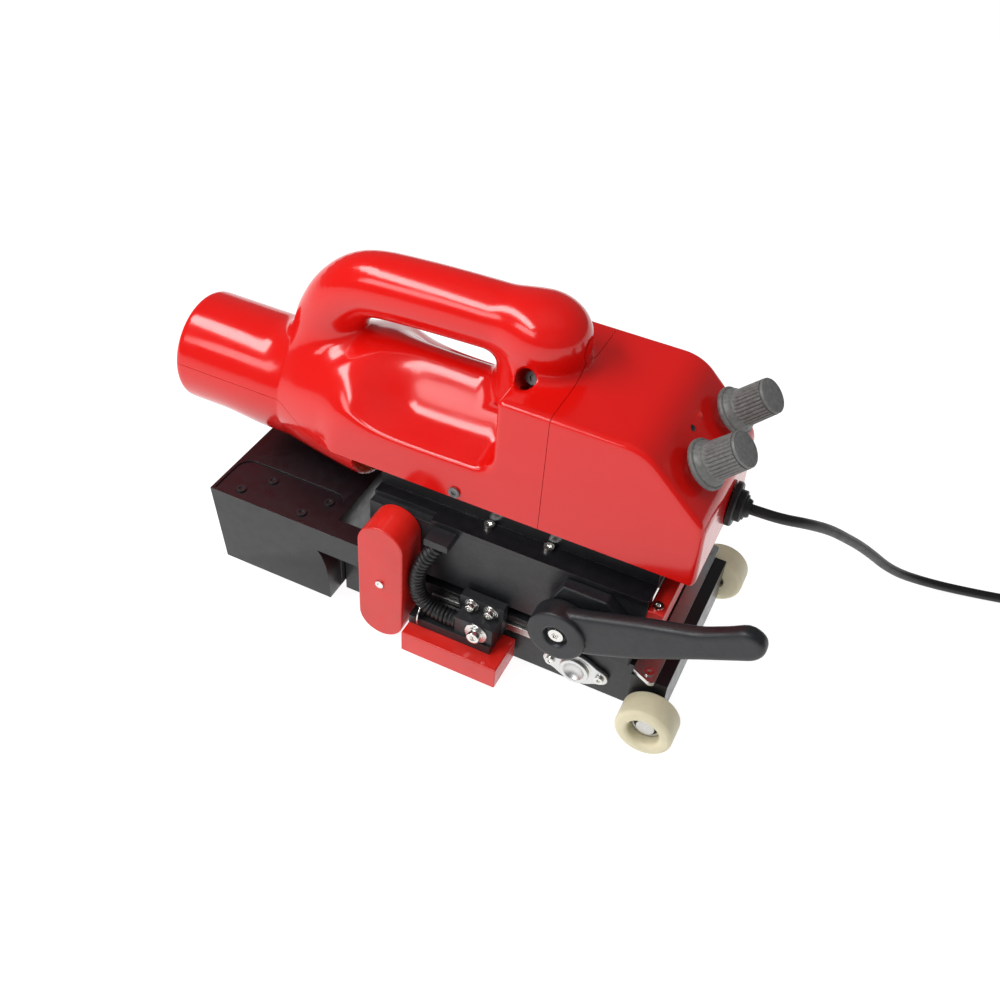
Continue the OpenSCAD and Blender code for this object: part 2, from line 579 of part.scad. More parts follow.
upper_housing();
control_housing();
lower_housing();
motor_body();
gear_case();
top_plate();
upper_frame();
lower_frame();
far_frame();
lever_block();
inner_bracket();
arm_pin();
crossbar();
guide_plate();
front_bar();
rear_box();
rear_box_lid();
lid_screws();
ballast_block();
axles();
chain_cover();
drive_chain();
flange_bearing();
guide_rail();
conduit_gland();
conduit();
pressure_spring();
frame_screws();
housing_screws();
control_board();
potentiometers();
cord_gland();
power_cord();
cord_coil();
mains_plug();
worm_shaft();
output_shaft();
worm_wheel();
drive_shaft();
drive_roller();
pressure_arm();
pressure_roller();
lever();
lever_screw();
cam_shaft();
guide_shoe();
carriage_bracket();
hot_wedge();
heater_cartridges();
carriage_bolts();
front_wheel_near();
front_wheel_far();
wheel_bearing_near();
wheel_bearing_far();
rear_roller();
track_roller();
temperature_knob();
speed_knob();
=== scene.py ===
"""Looks of a self-propelled hot-wedge welder for plastic sheet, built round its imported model.

Shapes are worked out in machine millimetres: x runs from the rear end of the motor barrel to the
front, y is 0 in the middle of the housing and z is 0 on the floor. to_frame() turns them into the
frame's metres.
"""

import json
import math

import bmesh
import bpy
import numpy as np
from bpy.props import FloatProperty, FloatVectorProperty, IntProperty, PointerProperty
from mathutils import Matrix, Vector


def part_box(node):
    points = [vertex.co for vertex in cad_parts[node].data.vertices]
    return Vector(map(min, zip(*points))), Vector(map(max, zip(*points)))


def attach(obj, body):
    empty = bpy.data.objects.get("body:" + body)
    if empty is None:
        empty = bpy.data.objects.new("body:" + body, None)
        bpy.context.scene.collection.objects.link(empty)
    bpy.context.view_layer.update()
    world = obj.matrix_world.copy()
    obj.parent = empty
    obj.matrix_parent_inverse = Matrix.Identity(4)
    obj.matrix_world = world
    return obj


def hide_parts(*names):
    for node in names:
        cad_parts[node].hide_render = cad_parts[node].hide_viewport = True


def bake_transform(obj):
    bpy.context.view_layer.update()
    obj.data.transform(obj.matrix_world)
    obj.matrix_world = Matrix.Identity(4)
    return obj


bl_info = {
    "name": "Hot-wedge sheet welder",
    "version": (1, 0, 0),
    "blender": (4, 5, 0),
    "location": "View3D > Sidebar > Welder",
    "description": "Builds the visible pieces of a hot-wedge sheet welder round its packed model",
    "category": "Object",
}

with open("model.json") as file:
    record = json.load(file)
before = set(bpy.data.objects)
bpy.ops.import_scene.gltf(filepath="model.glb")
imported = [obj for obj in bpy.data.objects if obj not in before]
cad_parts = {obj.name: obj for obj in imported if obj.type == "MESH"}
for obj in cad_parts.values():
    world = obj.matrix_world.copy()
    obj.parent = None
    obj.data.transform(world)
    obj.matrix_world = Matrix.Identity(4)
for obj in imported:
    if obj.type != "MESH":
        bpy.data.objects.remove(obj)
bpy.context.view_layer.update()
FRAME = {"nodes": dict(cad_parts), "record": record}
RECORD = FRAME["record"]
SLOT = {part["node"]: part["material_slot"] for part in RECORD["subparts"]}
BODY = {node: body for body, nodes in RECORD["behaviour"]["bodies"].items() for node in nodes}
JOINT = {joint["name"]: joint for joint in RECORD["behaviour"]["joints"]}
MM = 1000.0  # millimetres in a metre
HARD_EDGE = 40.0  # degrees past which an edge of a CAD node or of a field is kept sharp


def _shift():
    """Where the machine's zero lies in the frame, in metres: the housing's rear end, middle and floor."""
    low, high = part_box("upper_housing")
    return np.array([low.x, (low.y + high.y) / 2, 0.0])


SHIFT = _shift()


def to_frame(points):
    """Machine millimetres as metres in the frame."""
    return np.asarray(points, float) / MM + SHIFT


def to_machine(points):
    """Metres in the frame as machine millimetres."""
    return (np.asarray(points, float) - SHIFT) * MM


def edges_of(node):
    """The lowest and the highest corner of a CAD node, in machine millimetres."""
    low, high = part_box(node)
    return to_machine(low), to_machine(high)


# ---- surfaces ----
def make_piece(name, points, faces, sharp=35.0, turn_out=True):
    """A mesh object at the origin from machine points and faces, smooth but for edges over sharp degrees."""
    mesh = bpy.data.meshes.new(name)
    mesh.from_pydata(to_frame(points).tolist(), [], [list(face) for face in faces])
    if turn_out:
        work = bmesh.new()
        work.from_mesh(mesh)
        bmesh.ops.recalc_face_normals(work, faces=work.faces)
        work.to_mesh(mesh)
        work.free()
    shade(mesh, sharp)
    piece = bpy.data.objects.new(name, mesh)
    bpy.context.scene.collection.objects.link(piece)
    return piece


def shade(mesh, sharp):
    """Smooth shading, with edges that turn by more than sharp degrees left sharp."""
    mesh.polygons.foreach_set("use_smooth", np.ones(len(mesh.polygons), bool))
    mesh.set_sharp_from_angle(angle=math.radians(sharp))
    mesh.update()


def grid_faces(rows, cols, closed_rows=False):
    """The corners of every cell of a grid of rows times cols points, whose rows run round to their start."""
    i = np.arange(rows if closed_rows else rows - 1)[:, None]
    j = np.arange(cols)[None, :]
    up, right = (i + 1) % rows, (j + 1) % cols
    cells = [i * cols + j, i * cols + right, up * cols + right, up * cols + j]
    return np.stack(np.broadcast_arrays(*cells), -1).reshape(-1, 4).tolist()


def unit(vectors):
    """Vectors divided by their lengths."""
    return vectors / np.linalg.norm(vectors, axis=-1, keepdims=True)


def rounded(outline, radius, steps):
    """A closed outline with a quadratic curve at each corner, from radius before it to radius after it."""
    most = 0.49  # the share of a side that one arc may take
    p = np.asarray(outline, float)
    before, after = np.roll(p, 1, 0) - p, np.roll(p, -1, 0) - p
    reach = np.minimum(np.linalg.norm(before, axis=1), np.linalg.norm(after, axis=1)) * most
    reach = np.minimum(reach, radius)[:, None]
    start, end = p + unit(before) * reach, p + unit(after) * reach
    t = np.linspace(0, 1, steps + 1)[None, :, None]
    arcs = (1 - t) ** 2 * start[:, None] + 2 * t * (1 - t) * p[:, None] + t**2 * end[:, None]
    return arcs.reshape(-1, p.shape[1])


def axis_frame(axis):
    """Two unit vectors across an axis, and the axis as a unit vector."""
    along = unit(np.asarray(axis, float))
    helper = np.array([0.0, 0.0, 1.0]) if abs(along[2]) < 0.9 else np.array([1.0, 0.0, 0.0])
    across = unit(np.cross(helper, along))
    return across, np.cross(along, across), along


def lathe(name, profile, origin, axis, steps=72, closed=False, cut=None, sharp=35.0):
    """Surface of revolution: each (radius, height) of the profile goes once round the axis through origin.

    cut(angle, height) is taken from the radius, for ribs and knurls. An open profile's ends are capped.
    """
    profile = np.asarray(profile, float)
    across, up, along = axis_frame(axis)
    angle = np.linspace(0, 2 * np.pi, steps, endpoint=False)[None, :]
    height = profile[:, 1:2]
    radius = profile[:, :1] - (cut(angle, height) if cut else 0 * angle)
    ring = np.cos(angle)[..., None] * across + np.sin(angle)[..., None] * up
    points = np.asarray(origin) + radius[..., None] * ring + height[..., None] * along
    rows = len(profile)
    faces = grid_faces(rows, steps, closed_rows=closed)
    if not closed:
        faces += [list(range(steps))[::-1], list(range((rows - 1) * steps, rows * steps))]
    return make_piece(name, points.reshape(-1, 3), faces, sharp)


def sweep(name, path, section, reference, scale=None, sharp=50.0):
    """A closed section carried along a path: each point is the path's plus the section across its heading.

    section holds (across, up) pairs, reference is a direction that the path never runs along, and
    scale multiplies the section at each point of the path.
    """
    path, section = np.asarray(path, float), np.asarray(section, float)
    heading = unit(np.gradient(path, axis=0))
    across = unit(np.cross(heading, np.asarray(reference, float)))
    up = np.cross(across, heading)
    size = np.ones((len(path), 2)) if scale is None else np.asarray(scale, float).reshape(len(path), -1)
    size = np.broadcast_to(size, (len(path), 2))
    points = (
        path[:, None]
        + (section[None, :, :1] * size[:, None, :1]) * across[:, None]
        + (section[None, :, 1:] * size[:, None, 1:]) * up[:, None]
    )
    rows, cols = len(path), len(section)
    faces = grid_faces(rows, cols)
    faces += [list(range(cols))[::-1], list(range((rows - 1) * cols, rows * cols))]
    return make_piece(name, points.reshape(-1, 3), faces, sharp)


def circle(radius, steps):
    """Points round a circle."""
    angle = np.linspace(0, 2 * np.pi, steps, endpoint=False)
    return np.stack([radius * np.cos(angle), radius * np.sin(angle)], -1)


def soften(points, times):
    """A path with its corners cut: each pass puts points at a quarter and three quarters of every stretch."""
    p = np.asarray(points, float)
    for _ in range(times):
        cut = np.stack([0.75 * p[:-1] + 0.25 * p[1:], 0.25 * p[:-1] + 0.75 * p[1:]], 1)
        p = np.concatenate([p[:1], cut.reshape(-1, p.shape[1]), p[-1:]])
    return p


def even(path, spacing):
    """The path's points moved along it until they are equally far apart."""
    run = np.concatenate([[0], np.cumsum(np.linalg.norm(np.diff(path, axis=0), axis=1))])
    at = np.linspace(0, run[-1], max(2, round(run[-1] / spacing) + 1))
    return np.stack([np.interp(at, run, path[:, k]) for k in range(path.shape[1])], -1)


# ---- solids that blend into each other, as fields that are negative inside ----
def join(a, b, blend):
    """The union of two fields, with a fillet blend wide: the lesser one, less a parabola where they meet."""
    meet = np.maximum(blend - np.abs(a - b), 0) / blend
    return np.minimum(a, b) - meet**2 * blend / 4


def trim(a, b, blend):
    """What two fields share, with its edge rounded: the greater one, plus a parabola where they meet."""
    meet = np.maximum(blend - np.abs(a - b), 0) / blend
    return np.maximum(a, b) + meet**2 * blend / 4


def step(value, low, high):
    """0 below low and 1 above high, with an S between them: 3 t squared less 2 t cubed."""
    t = np.clip((value - low) / (high - low), 0, 1)
    return t * t * (3 - 2 * t)


def outline_distance(u, v, outline):
    """Distance from (u, v) to a closed outline of straight sides, negative inside it."""
    nearest, inside = None, None
    for (u0, v0), (u1, v1) in zip(outline, outline[1:] + outline[:1]):
        t = np.clip(((u - u0) * (u1 - u0) + (v - v0) * (v1 - v0)) / ((u1 - u0) ** 2 + (v1 - v0) ** 2), 0, 1)
        away = np.hypot(u - u0 - t * (u1 - u0), v - v0 - t * (v1 - v0))
        crosses = ((v0 > v) != (v1 > v)) & (u < (u1 - u0) * (v - v0) / (v1 - v0 + 1e-12) + u0)
        nearest = away if nearest is None else np.minimum(nearest, away)
        inside = crosses if inside is None else inside ^ crosses
    return np.where(inside, -nearest, nearest)


def field_surface(field, low, high, cell):
    """Points and four-sided faces of the surface where field(x, y, z) is 0.

    Each cell of a cubic grid that the surface crosses gets one point, the middle of the places where its
    edges are crossed. Each crossed edge joins the four cells round it. The points then slide down the
    field's slope onto the surface.
    """
    axes = [np.arange(a, b + cell, cell) for a, b in zip(low, high)]
    shape = [len(a) for a in axes]
    grid = np.broadcast_to(field(*np.meshgrid(*axes, indexing="ij", sparse=True)), shape)
    inside = grid < 0
    total, count, quads = np.zeros((np.prod(shape), 3)), np.zeros(np.prod(shape)), []
    stride = np.array([shape[1] * shape[2], shape[2], 1])
    for a in range(3):
        b, c = (a + 1) % 3, (a + 2) % 3
        near = [slice(None)] * 3
        far = [slice(None)] * 3
        near[a], far[a] = slice(0, -1), slice(1, None)
        at = np.argwhere(inside[tuple(near)] != inside[tuple(far)])
        at = at[(at[:, b] > 0) & (at[:, c] > 0)]
        flat = at @ stride
        f0, f1 = grid.reshape(-1)[flat], grid.reshape(-1)[flat + stride[a]]
        point = at.astype(float)
        point[:, a] += f0 / (f0 - f1)
        cells = np.stack([flat - stride[b] - stride[c], flat - stride[c], flat, flat - stride[b]], 1)
        for k in range(4):
            for axis in range(3):
                total[:, axis] += np.bincount(cells[:, k], point[:, axis], len(count))
            count += np.bincount(cells[:, k], minlength=len(count))
        quads.append(np.where((f0 < 0)[:, None], cells, cells[:, ::-1]))
    used = np.flatnonzero(count)
    number = np.zeros(len(count), int)
    number[used] = np.arange(len(used))
    points = np.asarray(low) + total[used] / count[used, None] * cell
    tiny, slides, least_slope = cell * 0.05, 4, 0.2
    for _ in range(slides):
        value = field(*points.T)
        ways = tiny * np.eye(3)
        slope = np.stack([field(*(points + way).T) - field(*(points - way).T) for way in ways], -1)
        slope /= 2 * tiny
        move = -value[:, None] * slope / np.maximum((slope**2).sum(1), least_slope)[:, None]
        points = points + np.clip(move, -cell * 0.5, cell * 0.5)
    return points, number[np.concatenate(quads)]


def field_piece(name, field, low, high, cell):
    """The surface of a field as a piece."""
    points, faces = field_surface(field, low, high, cell)
    return make_piece(name, points, faces.tolist(), HARD_EDGE, turn_out=False)


# ---- materials ----
class Nodes:
    """A material's node tree, with short calls for the nodes that the finishes share."""

    def __init__(self, name):
        self.material = bpy.data.materials.new(name)
        self.material.use_nodes = True
        self.tree = self.material.node_tree
        self.shader = self.tree.nodes["Principled BSDF"]
        self.place = self.add("ShaderNodeTexCoord").outputs["Object"]

    def add(self, kind, **values):
        node = self.tree.nodes.new(kind)
        for key, value in values.items():
            setattr(node, key, value)
        return node

    def link(self, source, target):
        self.tree.links.new(source, target)

    def noise(self, scale, detail=3.0, stretch=None):
        """Noise from 0 to 1 with scale bumps to the metre, stretched by the three factors given."""
        node = self.add("ShaderNodeTexNoise")
        node.inputs["Scale"].default_value = scale
        node.inputs["Detail"].default_value = detail
        place = self.place
        if stretch:
            mapping = self.add("ShaderNodeMapping")
            mapping.inputs["Scale"].default_value = stretch
            self.link(place, mapping.inputs["Vector"])
            place = mapping.outputs["Vector"]
        self.link(place, node.inputs["Vector"])
        return node.outputs["Fac"]

    def between(self, value, low, high):
        """A number from low to high as value goes from 0.3 to 0.7."""
        node = self.add("ShaderNodeMapRange")
        for key, number in (("From Min", 0.3), ("From Max", 0.7), ("To Min", low), ("To Max", high)):
            node.inputs[key].default_value = number
        self.link(value, node.inputs["Value"])
        return node.outputs["Result"]

    def tint(self, value, first, second):
        """A colour from first to second as value goes from 0.3 to 0.7, linked to the shader."""
        ramp = self.add("ShaderNodeValToRGB")
        ramp.color_ramp.elements[0].position, ramp.color_ramp.elements[1].position = 0.3, 0.7
        ramp.color_ramp.elements[0].color, ramp.color_ramp.elements[1].color = (*first, 1), (*second, 1)
        self.link(value, ramp.inputs["Fac"])
        self.link(ramp.outputs["Color"], self.shader.inputs["Base Color"])

    def rough(self, value, low, high):
        self.link(self.between(value, low, high), self.shader.inputs["Roughness"])

    def bump(self, value, height):
        """A bump of height metres, linked to the shader."""
        node = self.add("ShaderNodeBump")
        node.inputs["Distance"].default_value = height
        self.link(value, node.inputs["Height"])
        self.link(node.outputs["Normal"], self.shader.inputs["Normal"])

    def put(self, **values):
        """Values on the shader's own sockets."""
        for key, value in values.items():
            self.shader.inputs[key.replace("_", " ")].default_value = value
        return self.material


def dim(colour, share):
    """A colour with each part multiplied by share."""
    return tuple(min(1.0, c * share) for c in colour)


def moulded(name, colour, rough, coat, wave, wave_height):
    """Moulded plastic: faint flow patches, a roughness that wanders and long shallow waves in the surface."""
    n = Nodes(name)
    n.tint(n.noise(9, 2), dim(colour, 0.93), colour)
    n.rough(n.noise(60, 4), rough * 0.8, rough * 1.25)
    n.bump(n.noise(wave, 2), wave_height)
    return n.put(Coat_Weight=coat, Coat_Roughness=0.04, Specular_IOR_Level=0.5)


def grained(name, colour, rough, grain=2600, height=0.00004):
    """Grained plastic or powder coat: a fine pebbled bump and patches of slightly paler colour."""
    n = Nodes(name)
    n.tint(n.noise(420, 5), dim(colour, 0.8), dim(colour, 1.3))
    n.rough(n.noise(90, 4), rough * 0.85, rough * 1.15)
    n.bump(n.noise(grain, 3), height)
    return n.put(Specular_IOR_Level=0.5)


def enamel(name, colour, rough, coat):
    """Sprayed enamel: orange peel a millimetre or two across, with a clear gloss over it."""
    n = Nodes(name)
    n.tint(n.noise(35, 4), dim(colour, 0.88), dim(colour, 1.05))
    n.rough(n.noise(140, 4), rough * 0.8, rough * 1.3)
    n.bump(n.noise(520, 3), 0.000035)
    return n.put(Coat_Weight=coat, Coat_Roughness=0.08)


def turned(name, colour, rough, stretch, scale=900.0):
    """Machined metal: fine tool lines along the long direction of stretch, with dull patches."""
    n = Nodes(name)
    lines = n.noise(scale, 4, stretch)
    n.tint(lines, dim(colour, 0.82), colour)
    n.rough(n.noise(45, 5), rough * 0.75, rough * 1.35)
    n.bump(lines, 0.000012)
    return n.put(Metallic=1.0)


def cast(name, colour, rough):
    """Cast metal: a coarse skin with shallow pits."""
    n = Nodes(name)
    n.tint(n.noise(300, 6), dim(colour, 0.7), dim(colour, 1.2))
    n.rough(n.noise(160, 4), rough * 0.85, rough * 1.2)
    n.bump(n.noise(900, 5), 0.0001)
    return n.put(Metallic=0.8)


def waxy(name, colour):
    """Cast nylon: a cream skin with faint mottling that lets a little light in."""
    n = Nodes(name)
    n.tint(n.noise(70, 5), dim(colour, 0.9), dim(colour, 1.04))
    n.rough(n.noise(200, 4), 0.38, 0.55)
    n.bump(n.noise(700, 4), 0.00003)
    return n.put(Subsurface_Weight=0.15, Subsurface_Radius=(0.004, 0.003, 0.002), Subsurface_Scale=0.5)


def board_green(name, colour):
    """A circuit board's lacquer with copper tracks under it, as bands of a square pattern."""
    n = Nodes(name)
    tracks = n.add("ShaderNodeTexBrick")
    for key, value in (("Scale", 60.0), ("Mortar Size", 0.08)):
        tracks.inputs[key].default_value = value
    for key, share in (("Color1", 1.0), ("Color2", 1.15), ("Mortar", 1.8)):
        tracks.inputs[key].default_value = (*dim(colour, share), 1)
    n.link(n.place, tracks.inputs["Vector"])
    n.link(tracks.outputs["Color"], n.shader.inputs["Base Color"])
    n.rough(n.noise(120, 3), 0.3, 0.45)
    return n.put(Coat_Weight=0.3)


FINISHES = {}


def finish(slot):
    """The material of one of the record's slots, made once."""
    if slot not in FINISHES:
        colours = bpy.context.scene.welder_finish
        make = {
            "red_plastic": lambda: moulded("red_gloss_shell", colours.shell_red, 0.15, 0.12, 26, 0.0004),
            "red_paint": lambda: enamel("red_enamel", colours.enamel_red, 0.36, 0.25),
            "black_paint": lambda: enamel("black_enamel", colours.chassis_black, 0.34, 0.1),
            "black_anodised": lambda: grained("black_anodised_plate", colours.plate_black, 0.36, 3400, 2e-5),
            "black_plastic": lambda: grained("black_grained_plastic", colours.lever_black, 0.42),
            "rubber": lambda: grained("black_lead_jacket", colours.lead_black, 0.45, 1500, 0.00003),
            "grey_plastic": lambda: grained("grey_knob_plastic", colours.knob_grey, 0.45, 2400, 0.00003),
            "nylon": lambda: waxy("cream_nylon", colours.wheel_cream),
            "steel": lambda: turned("turned_steel", (0.62, 0.61, 0.59), 0.3, (1, 9, 1)),
            "zinc": lambda: turned("bright_zinc", (0.8, 0.79, 0.76), 0.2, (1, 1, 4)),
            "aluminium": lambda: turned("brushed_aluminium", (0.78, 0.78, 0.77), 0.38, (1, 14, 14), 500.0),
            "brass": lambda: turned("cut_brass", (0.78, 0.56, 0.24), 0.3, (9, 1, 9)),
            "cast_iron": lambda: cast("grey_casting", (0.2, 0.2, 0.2), 0.5),
            "board": lambda: board_green("green_board", (0.03, 0.16, 0.06)),
        }
        FINISHES[slot] = make[slot]()
    return FINISHES[slot]


def wear(piece, *nodes):
    """The piece stands for these CAD nodes: it rides on their body, hides them and takes their finish."""
    trimming(piece, BODY[nodes[0]], SLOT[nodes[0]])
    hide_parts(*nodes)
    return piece


def trimming(piece, body, slot):
    """A piece with no CAD node of its own: it rides on the body and has the slot's finish."""
    piece.data.materials.clear()
    piece.data.materials.append(finish(slot))
    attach(piece, body)
    return piece


def eased(node, width, segments=2):
    """A CAD node's own shape, its triangles merged and every hard edge rounded by width millimetres."""
    flat, same = math.radians(1.5), 1e-6  # what counts as one plane, and as one point
    mesh = FRAME["nodes"][node].data.copy()
    work = bmesh.new()
    work.from_mesh(mesh)
    bmesh.ops.remove_doubles(work, verts=work.verts, dist=same)
    bmesh.ops.dissolve_limit(
        work, angle_limit=flat, verts=work.verts, edges=work.edges, use_dissolve_boundaries=False
    )
    work.to_mesh(mesh)
    work.free()
    mesh.name = f"{node}_eased"
    shade(mesh, HARD_EDGE)
    piece = bpy.data.objects.new(mesh.name, mesh)
    bpy.context.scene.collection.objects.link(piece)
    bevel = piece.modifiers.new("rounded edges", "BEVEL")
    bevel.width, bevel.segments = width / MM, segments
    bevel.limit_method, bevel.angle_limit = "ANGLE", math.radians(HARD_EDGE)
    bevel.harden_normals = True
    return wear(piece, node)


# ---- what a user may change ----
class WelderLead(bpy.types.PropertyGroup):
    """The mains lead."""

    diameter: FloatProperty(name="Diameter", description="Outer diameter", default=0.0072, unit="LENGTH")
    length: FloatProperty(name="Length", description="Free length of the lead", default=2.44, unit="LENGTH")
    turns: IntProperty(name="Turns per layer", description="Turns beside each other in the coil", default=3)
    layers: IntProperty(name="Layers", description="Layers of turns on each other", default=3)


class WelderShell(bpy.types.PropertyGroup):
    """The red housing."""

    cell: FloatProperty(name="Cell", description="Grid that the shells are worked out on", default=1.3)
    lip: FloatProperty(name="Lip", description="Rounding of the hollow's lip, mm", default=4.0)
    edge: FloatProperty(name="Edge", description="Rounding of the box's edges, mm", default=4.5)
    ridge: FloatProperty(name="Ridge", description="Height of the ridge under the grip, mm", default=192.0)
    hollow: FloatProperty(name="Hollow", description="Depth of the hollowed flanks, mm", default=37.0)
    leg_blend: FloatProperty(name="Leg blend", description="Fillet at the grip's rear leg, mm", default=20.0)
    seam: FloatProperty(name="Seam", description="Gap between the shells, mm", default=0.35)


class WelderKnobs(bpy.types.PropertyGroup):
    """The two control knobs."""

    ribs: IntProperty(name="Ribs", description="Ribs round a knob", default=30)
    rib_depth: FloatProperty(name="Rib depth", description="Depth of the grooves, mm", default=0.75)


class WelderFinish(bpy.types.PropertyGroup):
    """The colours."""

    shell_red: FloatVectorProperty(name="Shell red", subtype="COLOR", default=(0.7, 0.006, 0.004))
    enamel_red: FloatVectorProperty(name="Enamel red", subtype="COLOR", default=(0.66, 0.016, 0.01))
    chassis_black: FloatVectorProperty(name="Chassis black", subtype="COLOR", default=(0.008, 0.008, 0.01))
    plate_black: FloatVectorProperty(name="Plate black", subtype="COLOR", default=(0.016, 0.017, 0.019))
    lever_black: FloatVectorProperty(name="Lever black", subtype="COLOR", default=(0.011, 0.012, 0.014))
    lead_black: FloatVectorProperty(name="Lead black", subtype="COLOR", default=(0.008, 0.008, 0.009))
    knob_grey: FloatVectorProperty(name="Knob grey", subtype="COLOR", default=(0.13, 0.13, 0.125))
    wheel_cream: FloatVectorProperty(name="Wheel cream", subtype="COLOR", default=(0.76, 0.69, 0.48))


# ---- lead ----
# The lead's free stretch from its strain relief to the coil, in machine millimetres
LEAD_ROUTE = [
    (408, 14, 142), (416, 14.2, 142), (424, 15, 141.6), (432, 18, 140), (441, 25, 136), (450, 36, 128),
    (459, 50, 116.5), (469, 67, 100), (480, 85, 82), (491, 103, 62), (502, 120, 42),
    (515, 136, 25), (532, 150, 13), (552, 160, 6.5), (575, 168, 3.6), (600, 174, 3.6),
    (625, 179, 3.6), (650, 180, 3.6),
]


def coil_route(centre, inner, gap, turns, layers):
    """A coil wound in layers: at each turn's end the cord shifts one diameter across, or climbs a layer.

    The turn's radius runs from the outside in and back out, layer by layer. The climb comes before the
    place where the other turns shift, so that they stay a diameter apart. The last turn climbs onto the coil.
    """
    rows = [inner + gap * k for k in range(turns)][::-1]
    order = [r for layer in range(layers) for r in (rows if layer % 2 == 0 else rows[::-1])]
    per_turn = 48  # points in a turn
    climb_from, climb_to, shift_from, top_from = 0.68, 0.84, 0.86, 0.62  # shares of a turn
    plug_lift = 7.5
    t = np.arange(len(order) * per_turn) / per_turn
    turn = t.astype(int)
    share = t - turn
    here = np.array(order)[turn]
    after = np.array(order + [order[-1]])[turn + 1]
    radius = here + (after - here) * step(share, shift_from, 1.0)
    layer = turn // turns
    last_of_layer = ((turn + 1) % turns == 0) & (layer < layers - 1)
    height = gap * (0.5 + layer + last_of_layer * step(share, climb_from, climb_to))
    top = turn == len(order) - 1
    height = height + top * step(share, top_from, 1.0) * (gap * 0.5 + plug_lift)
    angle = -np.pi / 2 + 2 * np.pi * t
    return np.stack([centre[0] + radius * np.cos(angle), centre[1] + radius * np.sin(angle), height], -1)


class WELDER_OT_lead(bpy.types.Operator):
    """The mains lead, coiled at its far end, with its strain relief and plug"""

    bl_idname = "welder.lead"
    bl_label = "Mains lead"

    def execute(self, context):
        lead = context.scene.welder_lead
        gap = lead.diameter * MM
        coil_low, coil_high = edges_of("cord_coil")
        middle = (coil_low + coil_high) / 2
        outer = (coil_high[0] - coil_low[0]) / 2 - gap / 2
        coil = coil_route(middle, outer - gap * (lead.turns - 1), gap, lead.turns, lead.layers)
        plug_low, plug_high = edges_of("mains_plug")
        plug_y, plug_z = (plug_low[1] + plug_high[1]) / 2, (plug_low[2] + plug_high[2]) / 2
        free = soften(LEAD_ROUTE, 2)
        path = np.concatenate([free[:-1], coil, [(plug_low[0], plug_y, plug_z)]])
        spacing, sides, upright = 4.0, 16, (0.1, 0.2, 1)
        path = even(path, spacing)
        cord = sweep("mains_lead", path, circle(gap / 2, sides), upright)
        wear(cord, "power_cord", "cord_coil")

        body = self.plug(plug_low, plug_high, plug_y, plug_z)
        relief = self.relief()
        return {"FINISHED"}

    def plug(self, low, high, y, z):
        """A two-pin plug: a block that tapers back to the lead, with grip ribs and two round pins."""
        size = (high - low) / 2
        face, pin_side = 39.8, 9.5
        stations = np.array([
            (0, 0.34), (2, 0.42), (4, 0.42), (5, 0.36), (7, 0.36), (8, 0.5), (10, 0.5), (11, 0.46),
            (13, 0.46), (14, 0.6), (16, 0.62), (20, 0.84), (24, 0.97), (36, 1.0), (39.2, 1.0), (39.9, 0.96),
        ])
        path = np.stack([low[0] + stations[:, 0], y + 0 * stations[:, 0], z + 0 * stations[:, 0]], -1)
        angle = np.linspace(0, 2 * np.pi, 48, endpoint=False)
        c, s = np.cos(angle), np.sin(angle)
        section = np.stack([size[1] * np.sign(c) * abs(c) ** 0.55, size[2] * np.sign(s) * abs(s) ** 0.6], -1)
        scale = np.stack([stations[:, 1], np.minimum(1, stations[:, 1] * 1.15)], -1)
        body = sweep("plug_body", path, section, (0, 0, 1), scale)
        wear(body, "mains_plug")
        profile = [(0.3, 0), (1.9, 0), (2.0, 0.2), (2.0, 17.0), (1.5, 18.4), (0.3, 18.9)]
        for number, side in enumerate((-pin_side, pin_side)):
            pin = lathe(f"plug_pin_{number + 1}", profile, (low[0] + face, y + side, z), (1, 0, 0), 24)
            trimming(pin, BODY["mains_plug"], "zinc")
            keep = pin.matrix_world.copy()
            pin.parent = body
            pin.matrix_world = keep
        return body

    def relief(self):
        """The gland: a flange and a stepped boss that close on the lead."""
        low, high = edges_of("cord_gland")
        origin = (low[0], (low[1] + high[1]) / 2, (low[2] + high[2]) / 2)
        face, tip = 8.0, high[0] - low[0]
        flange = [(15, 0), (15, 3), (14, 4), (10.6, 4), (10.6, 7.6), (10.0, 8.2), (8.6, 8.4), (8.2, 9.6),
                  (6.6, 9.9)]
        profile = [(3.0, 0), (6.9, 0), (6.9, face)]
        profile += [(radius, face + height) for radius, height in flange]
        profile += [(6.2, tip - 1.0), (5.6, tip), (3.65, tip)]
        return wear(lathe("strain_relief", profile, origin, (1, 0, 0), 64), "cord_gland")


# ---- housing ----
SEAM_Z = 140.5  # the seam between the shells along the barrel
SEAM_FRONT_Z = 127.0  # and in front of the slant that it takes down
BELLY_FRONT = 154.3  # where the belly shell ends


def grip_line():
    """The grip's middle line in the plane y = 0, as (x, z, radius), softened."""
    points = [(98, 150, 19), (100, 170, 20.5), (103, 188, 21), (108, 199, 21), (116, 212, 21.2),
              (130, 225, 21.5), (144, 230.5, 21.6), (171, 232.6, 21.7), (198, 234, 21.7), (231, 235, 21.6),
              (258, 235, 21.6)]
    return soften(points, 2)


